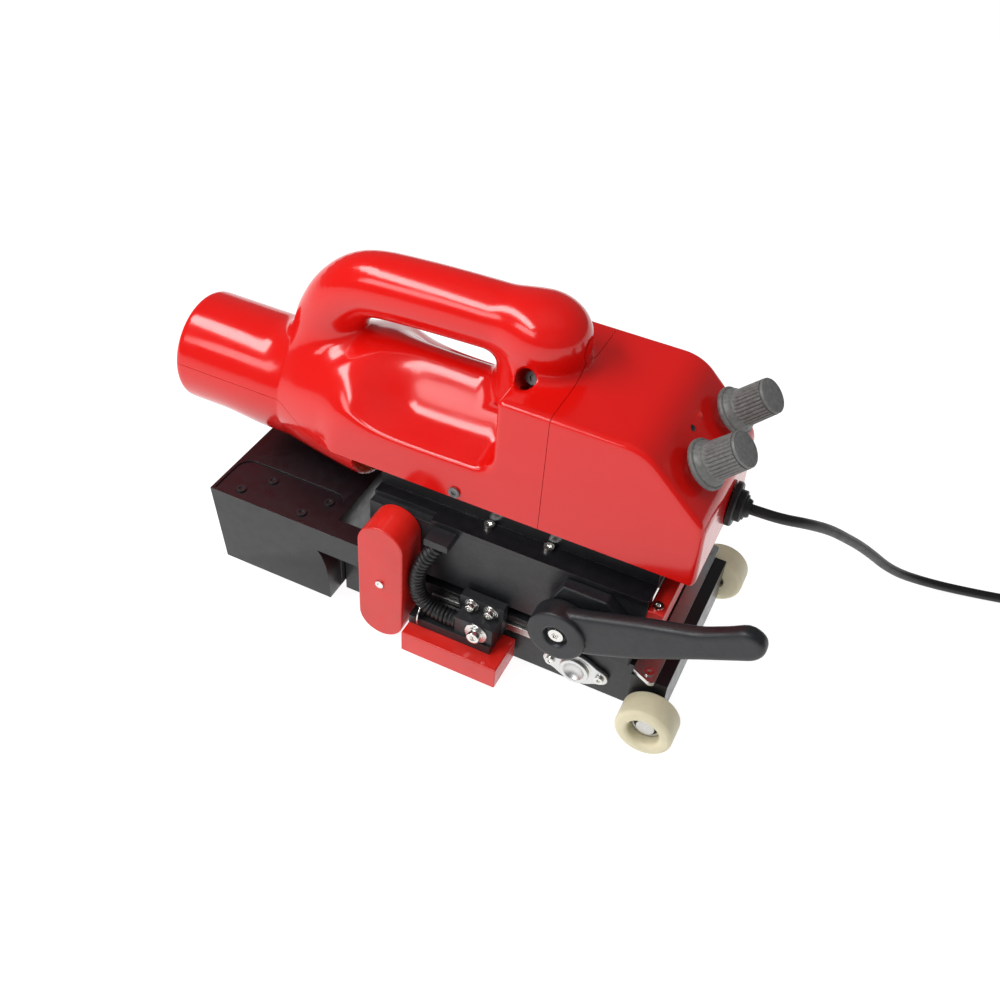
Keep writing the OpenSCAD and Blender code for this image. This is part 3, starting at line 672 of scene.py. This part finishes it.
def beside_line(x, z, line):
    """Distance in the plane y = 0 from (x, z) to a line, and the line's radius at the nearest place."""
    best, radius = None, None
    for (x0, z0, r0), (x1, z1, r1) in zip(line[:-1], line[1:]):
        t = np.clip(((x - x0) * (x1 - x0) + (z - z0) * (z1 - z0)) / ((x1 - x0) ** 2 + (z1 - z0) ** 2), 0, 1)
        away = np.hypot(x - x0 - t * (x1 - x0), z - z0 - t * (z1 - z0))
        r = r0 + t * (r1 - r0)
        nearer = np.full(away.shape, True) if best is None else away < best
        best = away if best is None else np.where(nearer, away, best)
        radius = r + 0 * away if radius is None else np.where(nearer, r, radius)
    return best, radius


class Housing:
    """The red housing as one field: barrel, neck, hollowed flanks, control box and handle."""

    def __init__(self, shell):
        box_low, box_high = edges_of("control_housing")
        self.floor, self.top, self.front = box_low[2], box_high[2], box_high[0]
        self.half = (box_high[1] - box_low[1]) / 2
        self.seam_x = box_low[0]
        self.barrel_r, self.barrel_end = 40.0, 86.0
        self.axis = 133.5  # height of the barrel's middle
        self.flare, self.rise, self.sag = 66.0, 17.0, 4.5  # the neck's length, and its growth up and down
        self.body_from, self.body_to = 122.0, 190.0  # where the neck turns into the flanks
        self.belly_end, self.hollow_end = 154.0, 256.5
        self.bend, self.slope_foot = 349.7, 172.8  # where the panel's slope starts, and how far down it goes
        self.lean = 1.7  # how far the front face leans back over its height
        self.bulb_x, self.bulb_r, self.bulb_foot = 260.0, 27.0, 186.0
        self.grip_z, self.grip_low, self.grip_high = 228.0, 205.0, 232.0
        self.shell = shell
        self.line = grip_line()

    def neck(self, x, y, z):
        """A section that flares from the barrel's end and grows squarer; below, the belly bulges."""
        flare = 1 - (1 - np.clip((x - self.barrel_end) / self.flare, 0, 1)) ** 1.3
        wide = self.barrel_r + (self.half - self.barrel_r) * flare
        tall = self.barrel_r + self.rise * flare
        deep = self.barrel_r + self.sag * step(x, 30, 66)
        high = z > self.axis
        reach = np.where(high, tall, deep)
        power = np.where(high, 2 + 0.8 * flare, 2.0)
        size = (np.abs(y) / wide) ** power + (np.abs(z - self.axis) / reach) ** power
        return (size ** (1 / power) - 1) * np.minimum(wide, reach)

    def hollow(self, x, y, z):
        """Height over the hollowed flanks: a crest with steep walls, then a floor that falls gently."""
        climb, root, root_x, root_fade = 0.035, 12.0, 140.0, 20.0
        swell = root / (1 + (np.maximum(x - root_x, 0) / root_fade) ** 2)
        crest = self.shell.ridge + climb * (x - self.body_to) + swell
        side, steep = np.abs(y), 0.66
        drop = self.shell.hollow * (steep * step(side, 1, 35) + (1 - steep) * step(side, 8, 62))
        return (z - crest + drop) * 0.75

    def body(self, x, y, z):
        """Barrel, neck, flanks and box."""
        neck = self.neck(x, y, z)
        share = step(x, self.body_from, self.body_to)
        flanks = join(self.hollow(x, y, z), self.hollow_end - x, 14)
        above = (1 - share) * neck + share * flanks
        below = np.minimum(np.maximum(neck, x - self.belly_end), self.floor - z)
        bend = np.array([self.front - self.lean - self.bend, self.top - self.slope_foot])
        normal = np.array([bend[1], bend[0]]) / np.hypot(*bend)
        slope = (x - self.bend) * normal[0] + (z - self.top) * normal[1]
        face = x - self.front + (z - self.floor) * self.lean / (self.slope_foot - self.floor)
        roof = trim(z - self.top, slope, 9)
        nose = trim(roof, face, 5)
        shape = np.maximum(trim(above, np.abs(y) - self.half, self.shell.lip), below)
        edge = self.shell.edge
        return trim(trim(shape, nose + 0 * y, edge), -x + 0 * y + 0 * z, 5)

    def handle(self, x, y, z):
        """The grip, swept along its line, and the bulb that its front end stands on."""
        away, radius = beside_line(x, z, self.line)
        grip = np.hypot(away, y) - radius
        lean = step(z, self.grip_low, self.grip_high)
        slim, power, crown = 0.93, 2.5, 29
        reach = self.bulb_r + 2.8 * lean
        across = np.hypot(x - self.bulb_x - 2.5 * lean, y / slim)
        over = np.maximum(z - self.grip_z, 0) / crown
        bulb = (((across / reach) ** power + over**power) ** (1 / power) - 1) * self.bulb_r * slim
        return join(grip, np.maximum(bulb, self.bulb_foot - z), 9)

    def outer(self, x, y, z):
        """The whole outside, with the round recess of the handle's screw in the bulb's near side."""
        blend = self.shell.leg_blend + (11 - self.shell.leg_blend) * step(x, 150, 225)
        whole = join(self.body(x, y, z), self.handle(x, y, z), blend)
        seat, recess_r, tilt = np.array([263.0, -14.0, 209.0]), 6.5, math.radians(60)
        out = np.array([0, -math.sin(tilt), math.cos(tilt)])
        along = (y - seat[1]) * out[1] + (z - seat[2]) * out[2]
        away = (x - seat[0]) ** 2 + (y - seat[1]) ** 2 + (z - seat[2]) ** 2
        across = np.sqrt(np.maximum(away - along**2, 0))
        recess = np.maximum(across - recess_r, -along)
        return trim(whole, -recess, 1.6)


def prism(name, outline, y0, y1):
    """A side outline in x and z drawn across the machine from y0 to y1, as a plain mesh object."""
    outline = np.asarray(outline, float)
    count = len(outline)
    points = [(x, y, z) for y in (y0, y1) for x, z in outline]
    faces = [list(range(count)), list(range(count, 2 * count))]
    faces += [[k, (k + 1) % count, (k + 1) % count + count, k + count] for k in range(count)]
    return make_piece(name, points, faces, 30)


def carve(piece, tool, operation):
    """Applies a boolean of the tool to the piece and removes the tool."""
    cut = piece.modifiers.new("cut", "BOOLEAN")
    cut.object, cut.operation, cut.solver = tool, operation, "MANIFOLD"
    context = bpy.context
    context.view_layer.update()
    evaluated = piece.evaluated_get(context.evaluated_depsgraph_get())
    mesh = bpy.data.meshes.new_from_object(evaluated)
    piece.modifiers.clear()
    piece.data = mesh
    bpy.data.objects.remove(tool)
    return piece


def copy_of(piece, name):
    """A copy of a piece with its own mesh."""
    twin = piece.copy()
    twin.data = piece.data.copy()
    twin.name = twin.data.name = name
    bpy.context.scene.collection.objects.link(twin)
    return twin


class WELDER_OT_housing(bpy.types.Operator):
    """The red housing: upper shell with its handle, belly shell and control box, cut apart at their seams"""

    bl_idname = "welder.housing"
    bl_label = "Housing"

    def execute(self, context):
        shell = context.scene.welder_shell
        housing = Housing(shell)
        cell = shell.cell * 1
        whole = field_piece("housing", housing.outer, (-4, -60, 80), (401, 60, 266), cell)
        wall, coarse = 3.0, 4.0

        def inside(x, y, z):
            """The housing's outside, moved in by the wall."""
            return housing.body(x, y, z) + wall

        room = field_piece("room", inside, (-1, -60, 84), (399, 60, 220), coarse)
        foot = prism("foot", [(156, 100), (156, 131), (391, 131), (391, 100)], -52, 52)
        carve(whole, carve(room, foot, "UNION"), "DIFFERENCE")
        gap, far = shell.seam / 2, 80
        behind, bottom, above, ahead = -9, 60, 300, 420  # planes outside the housing
        seam = [(behind, SEAM_Z), (90, SEAM_Z), (118, SEAM_FRONT_Z), (BELLY_FRONT, SEAM_FRONT_Z)]
        under = [(x, z - gap) for x, z in [*seam, (BELLY_FRONT, bottom), (behind, bottom)]]
        lower = carve(copy_of(whole, "belly_shell"), prism("cut", under, -far, far), "INTERSECT")
        start, end = housing.seam_x + gap, housing.seam_x - gap
        front = [(start, bottom), (start, above), (ahead, above), (ahead, bottom)]
        box = carve(copy_of(whole, "control_box_shell"), prism("cut", front, -far, far), "INTERSECT")
        over = [(x, z + gap) for x, z in seam]
        over += [(BELLY_FRONT, bottom), (end, bottom), (end, above), (behind, above)]
        carve(whole, prism("cut", over, -far, far), "INTERSECT")
        whole.name = whole.data.name = "handle_shell"
        for piece, node in ((whole, "upper_housing"), (lower, "lower_housing"), (box, "control_housing")):
            shade(piece.data, 38)
            wear(piece, node)
        eased("housing_screws", 0.3)
        return {"FINISHED"}


# ---- stage ----
def stand(thing, right, up, back, place):
    """Puts a camera or a light at its place, with its three axes along right, up and back."""
    rows = [(*row, at) for *row, at in zip(right, up, back, place)]
    thing.matrix_world = Matrix([*rows, (0, 0, 0, 1)])
    bpy.context.scene.collection.objects.link(thing)


class WELDER_OT_stage(bpy.types.Operator):
    """The pale floor, the soft lights and the camera"""

    bl_idname = "welder.stage"
    bl_label = "Stage"

    def execute(self, context):
        scene = context.scene
        self.camera(scene)
        self.floor()
        middle = np.array([0.0, 0.0, 0.1])
        self.light("overhead strip", middle + (-0.52, -0.42, 0.85), middle, (0.9, 0.22), 7)
        self.light("near left", middle + (-0.55, -1.1, 0.75), middle + (0, 0, 0.1), (0.9, 0.3), 4)
        self.light("top fill", middle + (0.1, -0.1, 1.3), middle, (1.2, 1.2), 7, False)
        self.light("front fill", middle + (0.9, -1.5, 0.9), middle, (0.9, 0.9), 1.5, False)
        world = bpy.data.worlds.new("studio")
        world.use_nodes = True
        background = world.node_tree.nodes["Background"]
        background.inputs["Color"].default_value = (0.95, 0.97, 1.0, 1)
        background.inputs["Strength"].default_value = 0.16
        scene.world = world
        scene.view_settings.view_transform = "Standard"
        return {"FINISHED"}

    def camera(self, scene):
        """The camera, its axes and its place given in the frame."""
        data = bpy.data.cameras.new("camera")
        data.lens, data.sensor_width = 40.377, 36.0
        camera = bpy.data.objects.new("camera", data)
        right = (0.89974932, 0.43212256, 0.06100205)
        up = (-0.3333129, 0.59022257, 0.73521414)
        back = (0.28169783, -0.68184119, 0.67508438)
        place = (0.2391, -0.5333, 0.6187)
        stand(camera, right, up, back, place)
        scene.camera = camera

    def floor(self):
        """A pale floor that glows a little, so that it stays white away from the lights."""
        size = 6.0
        mesh = bpy.data.meshes.new("floor")
        corners = [(-size, -size, 0), (size, -size, 0), (size, size, 0), (-size, size, 0)]
        mesh.from_pydata(corners, [], [(0, 1, 2, 3)])
        floor = bpy.data.objects.new("floor", mesh)
        paint = Nodes("pale_floor")
        paint.tint(paint.noise(2, 2), (0.3, 0.3, 0.3), (0.33, 0.33, 0.33))
        mesh.materials.append(paint.put(Roughness=0.8, Emission_Color=(1, 1, 1, 1), Emission_Strength=0.92))
        bpy.context.scene.collection.objects.link(floor)

    def light(self, name, place, aim, size, power, mirrored=True):
        """A soft rectangle that faces aim; one that isn't mirrored leaves no highlight on the gloss."""
        data = bpy.data.lights.new(name, "AREA")
        data.shape, data.size, data.size_y, data.energy = "RECTANGLE", *size, power
        light = bpy.data.objects.new(name, data)
        back = unit(np.asarray(place) - np.asarray(aim))
        across = unit(np.cross((0, 0, 1), back))
        up = np.cross(back, across)
        light.visible_glossy = mirrored
        stand(light, across, up, back, place)


# ---- controls ----
class WELDER_OT_controls(bpy.types.Operator):
    """The two ribbed knobs, their nuts, and the two small lights between them"""

    bl_idname = "welder.controls"
    bl_label = "Controls"

    def execute(self, context):
        knobs = context.scene.welder_knobs
        for node, joint in (("temperature_knob", "temperature_turn"), ("speed_knob", "speed_turn")):
            wear(self.knob(node, JOINT[joint], knobs), node)
        eased("potentiometers", 0.4)
        spot = to_machine(JOINT["temperature_turn"]["pos_m"])
        axis = np.array(JOINT["temperature_turn"]["axis"])
        uphill = -unit(np.cross((0, 1, 0), axis))
        row = 15.5  # how far the lights lie above the knob's axis
        for name, y, slot in (("power_light", 22.0, "black_plastic"), ("fault_light", 36.0, "red_paint")):
            place = spot + uphill * row + np.array([0, y, 0])
            lens = [(2.2, -1.5), (2.2, 0.25), (1.7, 0.45), (1.5, 0.2), (1.0, 0.5), (0.3, 0.65)]
            trimming(lathe(name, lens, place, axis, 24), "machine", slot)
        return {"FINISHED"}

    def knob(self, node, joint, knobs):
        """A skirt in two steps, a barrel with ribs and a capped end, turned about the joint's axis."""
        profile = [(2.9, -5.9), (2.9, 6.2), (15.6, 6.2), (16.2, 6.8), (16.2, 9.0), (15.8, 9.5), (14.5, 9.7),
                   (14.2, 10.2), (13.8, 12.6), (12.5, 13.8), (12.1, 14.4), (12.1, 14.8), (12.1, 15.4)]
        profile += [(12.1 - 0.4 * k / 9, 15.4 + 17.6 * k / 9) for k in range(1, 10)]
        profile += [(11.7, 33.5), (11.7, 33.9), (11.0, 34.0), (11.0, 34.5), (11.5, 34.6), (11.5, 35.8),
                    (11.1, 36.3), (9.9, 36.4), (9.5, 36.2), (9.2, 36.15), (5.0, 36.1), (0.3, 36.1)]

        def grooves(angle, height):
            """Narrow grooves: a cosine round the knob to the sixth power, over the barrel's length."""
            wave = (0.5 + 0.5 * np.cos(knobs.ribs * angle)) ** 3
            return knobs.rib_depth * wave * step(height, 14.6, 15.4) * (1 - step(height, 33.2, 33.8))

        return lathe(f"{node}_ribbed", profile, to_machine(joint["pos_m"]), joint["axis"], knobs.ribs * 12,
                     cut=grooves, sharp=45)


# ---- wheels and rollers ----
def axle_of(node):
    """The middle of a node across X and Z, and its lowest and highest y."""
    low, high = edges_of(node)
    return (low[0] + high[0]) / 2, (low[2] + high[2]) / 2, low[1], high[1]


class WELDER_OT_wheels(bpy.types.Operator):
    """Front wheels with their bearings, the rear and track rollers, and the knurled rollers"""

    bl_idname = "welder.wheels"
    bl_label = "Wheels and rollers"

    def execute(self, context):
        for side in ("near", "far"):
            self.front_wheel(side)
        self.rear_roller()
        self.knurled("drive_roller", 7.05, 60)
        self.knurled("pressure_roller", 4.05, 40)
        self.track_roller()
        for node in ("axles", "drive_shaft", "output_shaft", "worm_shaft", "cam_shaft", "arm_pin",
                     "worm_wheel"):
            eased(node, 0.4)
        return {"FINISHED"}

    def front_wheel(self, side):
        """A nylon tyre with rounded shoulders and a recessed hub that holds a shielded bearing."""
        x, z, low, high = axle_of(f"front_wheel_{side}")
        outer, axis = (low, (0, 1, 0)) if side == "near" else (high, (0, -1, 0))
        wide, radius = high - low, edges_of(f"front_wheel_{side}")[1][2] - z
        tyre = [(11, 17), (11, 2.2), (12.2, 0.6), (13.4, 0), (radius - 2.2, 0), (radius, 2.2),
                (radius, wide - 2.2), (radius - 2.2, wide), (6.5, wide), (6.5, 17)]
        wear(lathe(f"front_tyre_{side}", rounded(tyre, 1.0, 3), (x, outer, z), axis, 96, closed=True),
             f"front_wheel_{side}")
        rings = [(4.05, 8.5), (5.7, 8.5), (6.0, 9.0), (8.6, 9.0), (8.9, 8.5), (10.9, 8.5), (10.9, 16.9),
                 (4.05, 16.9)]
        wear(lathe(f"hub_bearing_{side}", rounded(rings, 0.25, 2), (x, outer, z), axis, 64, closed=True),
             f"wheel_bearing_{side}")
        seal = [(5.95, 8.9), (8.65, 8.9), (8.65, 9.3), (5.95, 9.3)]
        trimming(lathe(f"hub_seal_{side}", seal, (x, outer, z), axis, 64, closed=True),
                 BODY[f"wheel_bearing_{side}"], "rubber")

    def rear_roller(self):
        """A wide nylon roller with rounded ends and three shallow grooves."""
        x, z, low, high = axle_of("rear_roller")
        radius, wide = edges_of("rear_roller")[1][2] - z, high - low
        outline = [(4.05, 0), (radius - 2, 0), (radius, 2)]
        for share in (0.25, 0.5, 0.75):
            middle = wide * share
            outline += [(radius, middle - 1), (radius - 0.8, middle - 0.6), (radius - 0.8, middle + 0.6),
                        (radius, middle + 1)]
        outline += [(radius, wide - 2), (radius - 2, wide), (4.05, wide)]
        wear(lathe("rear_roller_turned", rounded(outline, 0.5, 2), (x, low, z), (0, 1, 0), 80, closed=True),
             "rear_roller")

    def knurled(self, node, bore, teeth):
        """A roller with a diamond knurl: two crossing cosines round and along it, cut 0.45 mm deep."""
        x, z, low, high = axle_of(node)
        radius, wide = edges_of(node)[1][2] - z, high - low
        face = [(radius, h) for h in np.linspace(1.2, wide - 1.2, 60)]
        profile = [(bore, 0), (radius - 1.2, 0), *face, (radius - 1.2, wide), (bore, wide)]

        def knurl(angle, height):
            lead = teeth * height / radius
            cross = np.cos(teeth * angle + lead) * np.cos(teeth * angle - lead)
            return 0.225 * (1 - cross) * step(height, 1.2, 2.0) * (1 - step(height, wide - 2.0, wide - 1.2))

        piece = lathe(f"{node}_knurled", profile, (x, low, z), (0, 1, 0), teeth * 8, closed=True, cut=knurl)
        return wear(piece, node)

    def track_roller(self):
        """The roller that the sheet runs over, with rounded ends on its stub shaft."""
        x, z, low, high = axle_of("track_roller")
        radius = edges_of("track_roller")[1][2] - z
        end = (high - low) / 2 - 48
        wide = high - low
        outline = [(0.3, 0), (7.4, 0), (8, 0.6), (8, end), (radius - 1.5, end), (radius, end + 1.5),
                   (radius, wide - end - 1.5), (radius - 1.5, wide - end), (8, wide - end), (8, wide - 0.6),
                   (7.4, wide), (0.3, wide)]
        wear(lathe("track_roller_turned", outline, (x, low, z), (0, 1, 0), 80), "track_roller")


# ---- lever ----
class WELDER_OT_lever(bpy.types.Operator):
    """The pressure lever with its hub, screw and base block"""

    bl_idname = "welder.lever"
    bl_label = "Pressure lever"

    def execute(self, context):
        low, high = edges_of("lever")
        hub_x, hub_z = to_machine(JOINT["lever_swing"]["pos_m"])[[0, 2]]
        tip_x, rise = high[0] - hub_x, high[2] - hub_z
        arm = [(-6, 11), (17, 17.5), (51, 29.5), (89, 41.5), (tip_x - 21, rise - 12.5),
               (tip_x - 12, rise - 6), (tip_x - 6.5, rise - 9), (tip_x - 6, rise - 13),
               (tip_x - 8.5, rise - 17), (86, 29.6), (51, 9.6), (20, -4), (8, -7)]
        arm = [tuple(p) for p in rounded([(hub_x + x, hub_z + z) for x, z in arm], 5, 3)]
        swell, hub_r, seat_r, seat_depth, seat_taper = 6.0, 20.0, 8.4, 4.0, 0.35
        near, far = low[1] + 2.9, high[1] - 2.2
        middle_arm, half_arm = (near + far) / 2, (far - near) / 2

        def lever(x, y, z):
            """An outline swollen and with its edges rounded, a hub disc and the tapered seat of its screw."""
            bar = outline_distance(x, z, arm) - swell
            bar = trim(bar, np.abs(y - middle_arm) - half_arm, 4.5)
            from_hub = np.hypot(x - hub_x, z - hub_z)
            disc = trim(from_hub - hub_r, np.maximum(low[1] - y, y - high[1]), 2.0)
            whole = np.minimum(bar, disc)
            seat = np.maximum(from_hub - seat_r + seat_taper * (y - low[1]), y - low[1] - seat_depth)
            return trim(whole, -seat, 0.8)

        wear(field_piece("lever_arm", lever, low - 3, high + 3, 1.1), "lever")
        hub = (hub_x, low[1] + seat_depth + 0.1, hub_z)
        wear(socket_screw("hub_screw", hub, (0, -1, 0), 5.4, 3.0, 2.9), "lever_screw")
        eased("lever_block", 2.2, 3)
        return {"FINISHED"}


def socket_screw(name, seat, axis, radius, tall, socket, washer=0.0):
    """A cap screw on its seat: a domed head with a six-sided socket, over a washer if its radius is given."""
    profile = [(0.3, -0.5), (radius * 0.8, -0.5)]
    base = 0.0
    if washer:
        profile += [(washer - 0.2, 0), (washer, 0.2), (washer, 1.0), (washer - 0.2, 1.2), (radius + 0.9, 1.2),
                    (radius + 0.7, 1.9), (radius + 0.2, 1.9)]
        base = 1.9
    top = base + tall
    profile += [(radius, base + 0.1), (radius, top - 0.7), (radius - 0.25, top - 0.25), (radius - 0.8, top),
                (socket + 0.5, top), (socket, top - 0.2), (socket, top - tall * 0.6), (0.3, top - tall * 0.6)]

    def six_sides(angle, height):
        """What turns the socket's circle into a hexagon: its radius less the distance to the nearest side."""
        inner = np.array([p[0] <= socket + 0.01 and p[0] > 0.5 for p in profile])[:, None]
        inner = inner & (np.asarray(height) > base + 0.2)
        side = socket * (1 - math.cos(math.pi / 6) / np.cos((angle % (math.pi / 3)) - math.pi / 6))
        return inner * side

    return lathe(name, profile, seat, axis, 48, cut=six_sides, sharp=30)


# ---- wedge carriage ----
# The corrugated conduit from its gland under the deck to the carriage, in machine millimetres
CONDUIT_ROUTE = [
    (230, -70, 98), (226, -74, 91), (221, -77, 82), (218.5, -78.5, 73), (218, -79, 64),
    (219, -79, 55), (223, -79, 47.5), (230, -79, 43), (240, -79, 42), (249.8, -79, 42),
]


class WELDER_OT_carriage(bpy.types.Operator):
    """The sliding carriage: guide shoe, bracket, hot wedge, bolts and the corrugated conduit"""

    bl_idname = "welder.carriage"
    bl_label = "Wedge carriage"

    def execute(self, context):
        eased("guide_shoe", 1.0, 3)
        eased("carriage_bracket", 0.7)
        eased("hot_wedge", 0.5)
        eased("guide_rail", 0.4)
        self.bolts()
        self.conduit()
        self.clip()
        return {"FINISHED"}

    def bolts(self):
        """The big clamp screw on its washers, and two smaller ones above it."""
        low, high = edges_of("carriage_bracket")
        big = socket_screw("clamp_screw", (266.5, low[1] + 2.0, 43), (0, -1, 0), 4.6, 4.4, 2.3, washer=8.2)
        wear(big, "carriage_bolts")
        face, height = -71.9, 54.5
        for number, x in enumerate((257, 271)):
            seat = (x, face, height)
            small = socket_screw(f"bracket_screw_{number + 1}", seat, (0, -1, 0), 3.3, 3.4, 1.7, washer=5.4)
            trimming(small, BODY["carriage_bolts"], SLOT["carriage_bolts"])

    def conduit(self):
        """Corrugated hose: its radius is a wave along it, broad ridges with narrow valleys."""
        spacing, pitch, valley, ridge = 0.4, 3.1, 4.7, 1.25
        path = even(soften(CONDUIT_ROUTE, 3), spacing)
        run = np.arange(len(path)) * spacing
        wave = np.abs(np.sin(np.pi * run / pitch)) ** 0.7
        hose = sweep("conduit_hose", path, circle(1.0, 28), (0, 1, 0), valley + ridge * wave, sharp=80)
        hose.data.materials.append(finish("rubber"))
        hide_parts("conduit")
        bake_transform(hose)
        eased("conduit_gland", 0.8)

    def clip(self):
        """A bright saddle clip: half a ring of strip over the conduit where it meets the carriage."""
        x, y, z, radius = 224, -79, 37.5, 7.4
        turn = np.linspace(-0.15 * np.pi, 1.1 * np.pi, 28)
        path = np.stack([x + 0 * turn, y - radius * np.cos(turn), z + radius * np.sin(turn)], -1)
        section = rounded([(-3, -0.5), (3, -0.5), (3, 0.5), (-3, 0.5)], 0.3, 2)
        trimming(sweep("conduit_clip", path, section, (1, 0, 0)), "carriage", "zinc")


# ---- chassis ----
class WELDER_OT_chassis(bpy.types.Operator):
    """Side plates, deck, crossbar, covers, rear box, bearing and fasteners"""

    bl_idname = "welder.chassis"
    bl_label = "Chassis"

    def execute(self, context):
        for node in ("top_plate", "upper_frame", "lower_frame", "far_frame", "inner_bracket", "guide_plate",
                     "pressure_arm", "ballast_block", "gear_case", "motor_body"):
            eased(node, 0.5)
        for node, width in (("crossbar", 0.8), ("front_bar", 1.0), ("rear_box", 1.0), ("rear_box_lid", 0.4),
                            ("chain_cover", 1.6)):
            eased(node, width, 3)
        for node in ("lid_screws", "frame_screws"):
            eased(node, 0.25)
        self.bearing()
        self.spring()
        return {"FINISHED"}

    def bearing(self):
        """The oval flange bearing: a lens-shaped foot with two ears, and a cupped boss."""
        low, high = edges_of("flange_bearing")
        x0, z0 = (low[0] + high[0]) / 2, (low[2] + high[2]) / 2
        back = high[1]
        ear_x, ear_r, half_wide, bulge = 18, 5.9, 12.8, 24.5
        foot_r, foot_tall, boss_r, boss_tall = 13.2, 3.8, 10.6, 6.8

        def flange(x, y, z):
            """Two ears joined to a round middle, thickened by a boss with a dished face."""
            u, v, h = x - x0, z - z0, back - y
            middle = np.hypot(u, v)
            ears = np.hypot(np.abs(u) - ear_x, v) - ear_r
            lens = np.hypot(u, np.abs(v) + bulge - half_wide) - bulge
            foot = join(join(np.maximum(lens, np.abs(u) - ear_x - 1), ears, 4), middle - foot_r, 3)
            foot = trim(foot, np.maximum(h - foot_tall, -h), 1.4)
            boss = trim(middle - boss_r, np.maximum(h - boss_tall, -h), 1.0)
            dish = np.sqrt(middle**2 + (h - 11.5) ** 2) - 9.2
            return trim(join(foot, boss, 1.2), -dish, 0.6)

        wear(field_piece("oval_flange", flange, low - 2, high + 2, 0.55), "flange_bearing")

    def spring(self):
        """The pressure spring: a wire carried round a helix, its end turns closed and flat."""
        low, high = edges_of("pressure_spring")
        x, y = (low[0] + high[0]) / 2, (low[1] + high[1]) / 2
        t = np.linspace(0, 1, 260)
        turns, wire, wide = 7.5, 0.75, (high[0] - low[0]) / 2 - 0.75
        lift = low[2] + wire + (high[2] - low[2] - 2 * wire) * (0.08 * t + 0.92 * step(t, 0.02, 0.98))
        angle = 2 * np.pi * turns * t
        path = np.stack([x + wide * np.cos(angle), y + wide * np.sin(angle), lift], -1)
        coil = sweep("spring_wire", path, circle(wire, 10), (0, 0, 1))
        coil.data.materials.append(finish("steel"))
        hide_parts("pressure_spring")
        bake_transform(coil)


# ---- panel and main ----
GROUPS = {
    "welder_lead": WelderLead,
    "welder_shell": WelderShell,
    "welder_knobs": WelderKnobs,
    "welder_finish": WelderFinish,
}
OPERATORS = [WELDER_OT_stage, WELDER_OT_lead, WELDER_OT_housing, WELDER_OT_controls, WELDER_OT_wheels,
             WELDER_OT_lever, WELDER_OT_carriage, WELDER_OT_chassis]


class WELDER_PT_panel(bpy.types.Panel):
    """Lists the operators that build the welder"""

    bl_idname = "WELDER_PT_panel"
    bl_label = "Welder"
    bl_space_type = "VIEW_3D"
    bl_region_type = "UI"
    bl_category = "Welder"

    def draw(self, context):
        for operator in OPERATORS:
            self.layout.operator(operator.bl_idname)


def register():
    """Registers the groups of properties, the operators and the panel."""
    for name, group in GROUPS.items():
        bpy.utils.register_class(group)
        setattr(bpy.types.Scene, name, PointerProperty(type=group))
    for cls in [*OPERATORS, WELDER_PT_panel]:
        bpy.utils.register_class(cls)


def unregister():
    """Undoes register()."""
    for cls in [*OPERATORS, WELDER_PT_panel]:
        bpy.utils.unregister_class(cls)
    for name, group in GROUPS.items():
        delattr(bpy.types.Scene, name)
        bpy.utils.unregister_class(group)


def main():
    """Builds every piece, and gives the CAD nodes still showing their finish."""
    register()
    for operator in OPERATORS:
        family, name = operator.bl_idname.split(".")
        getattr(getattr(bpy.ops, family), name)()
    for node, obj in FRAME["nodes"].items():
        if not obj.hide_render:
            obj.data.materials.clear()
            obj.data.materials.append(finish(SLOT[node]))


if __name__ == "__main__":
    main()
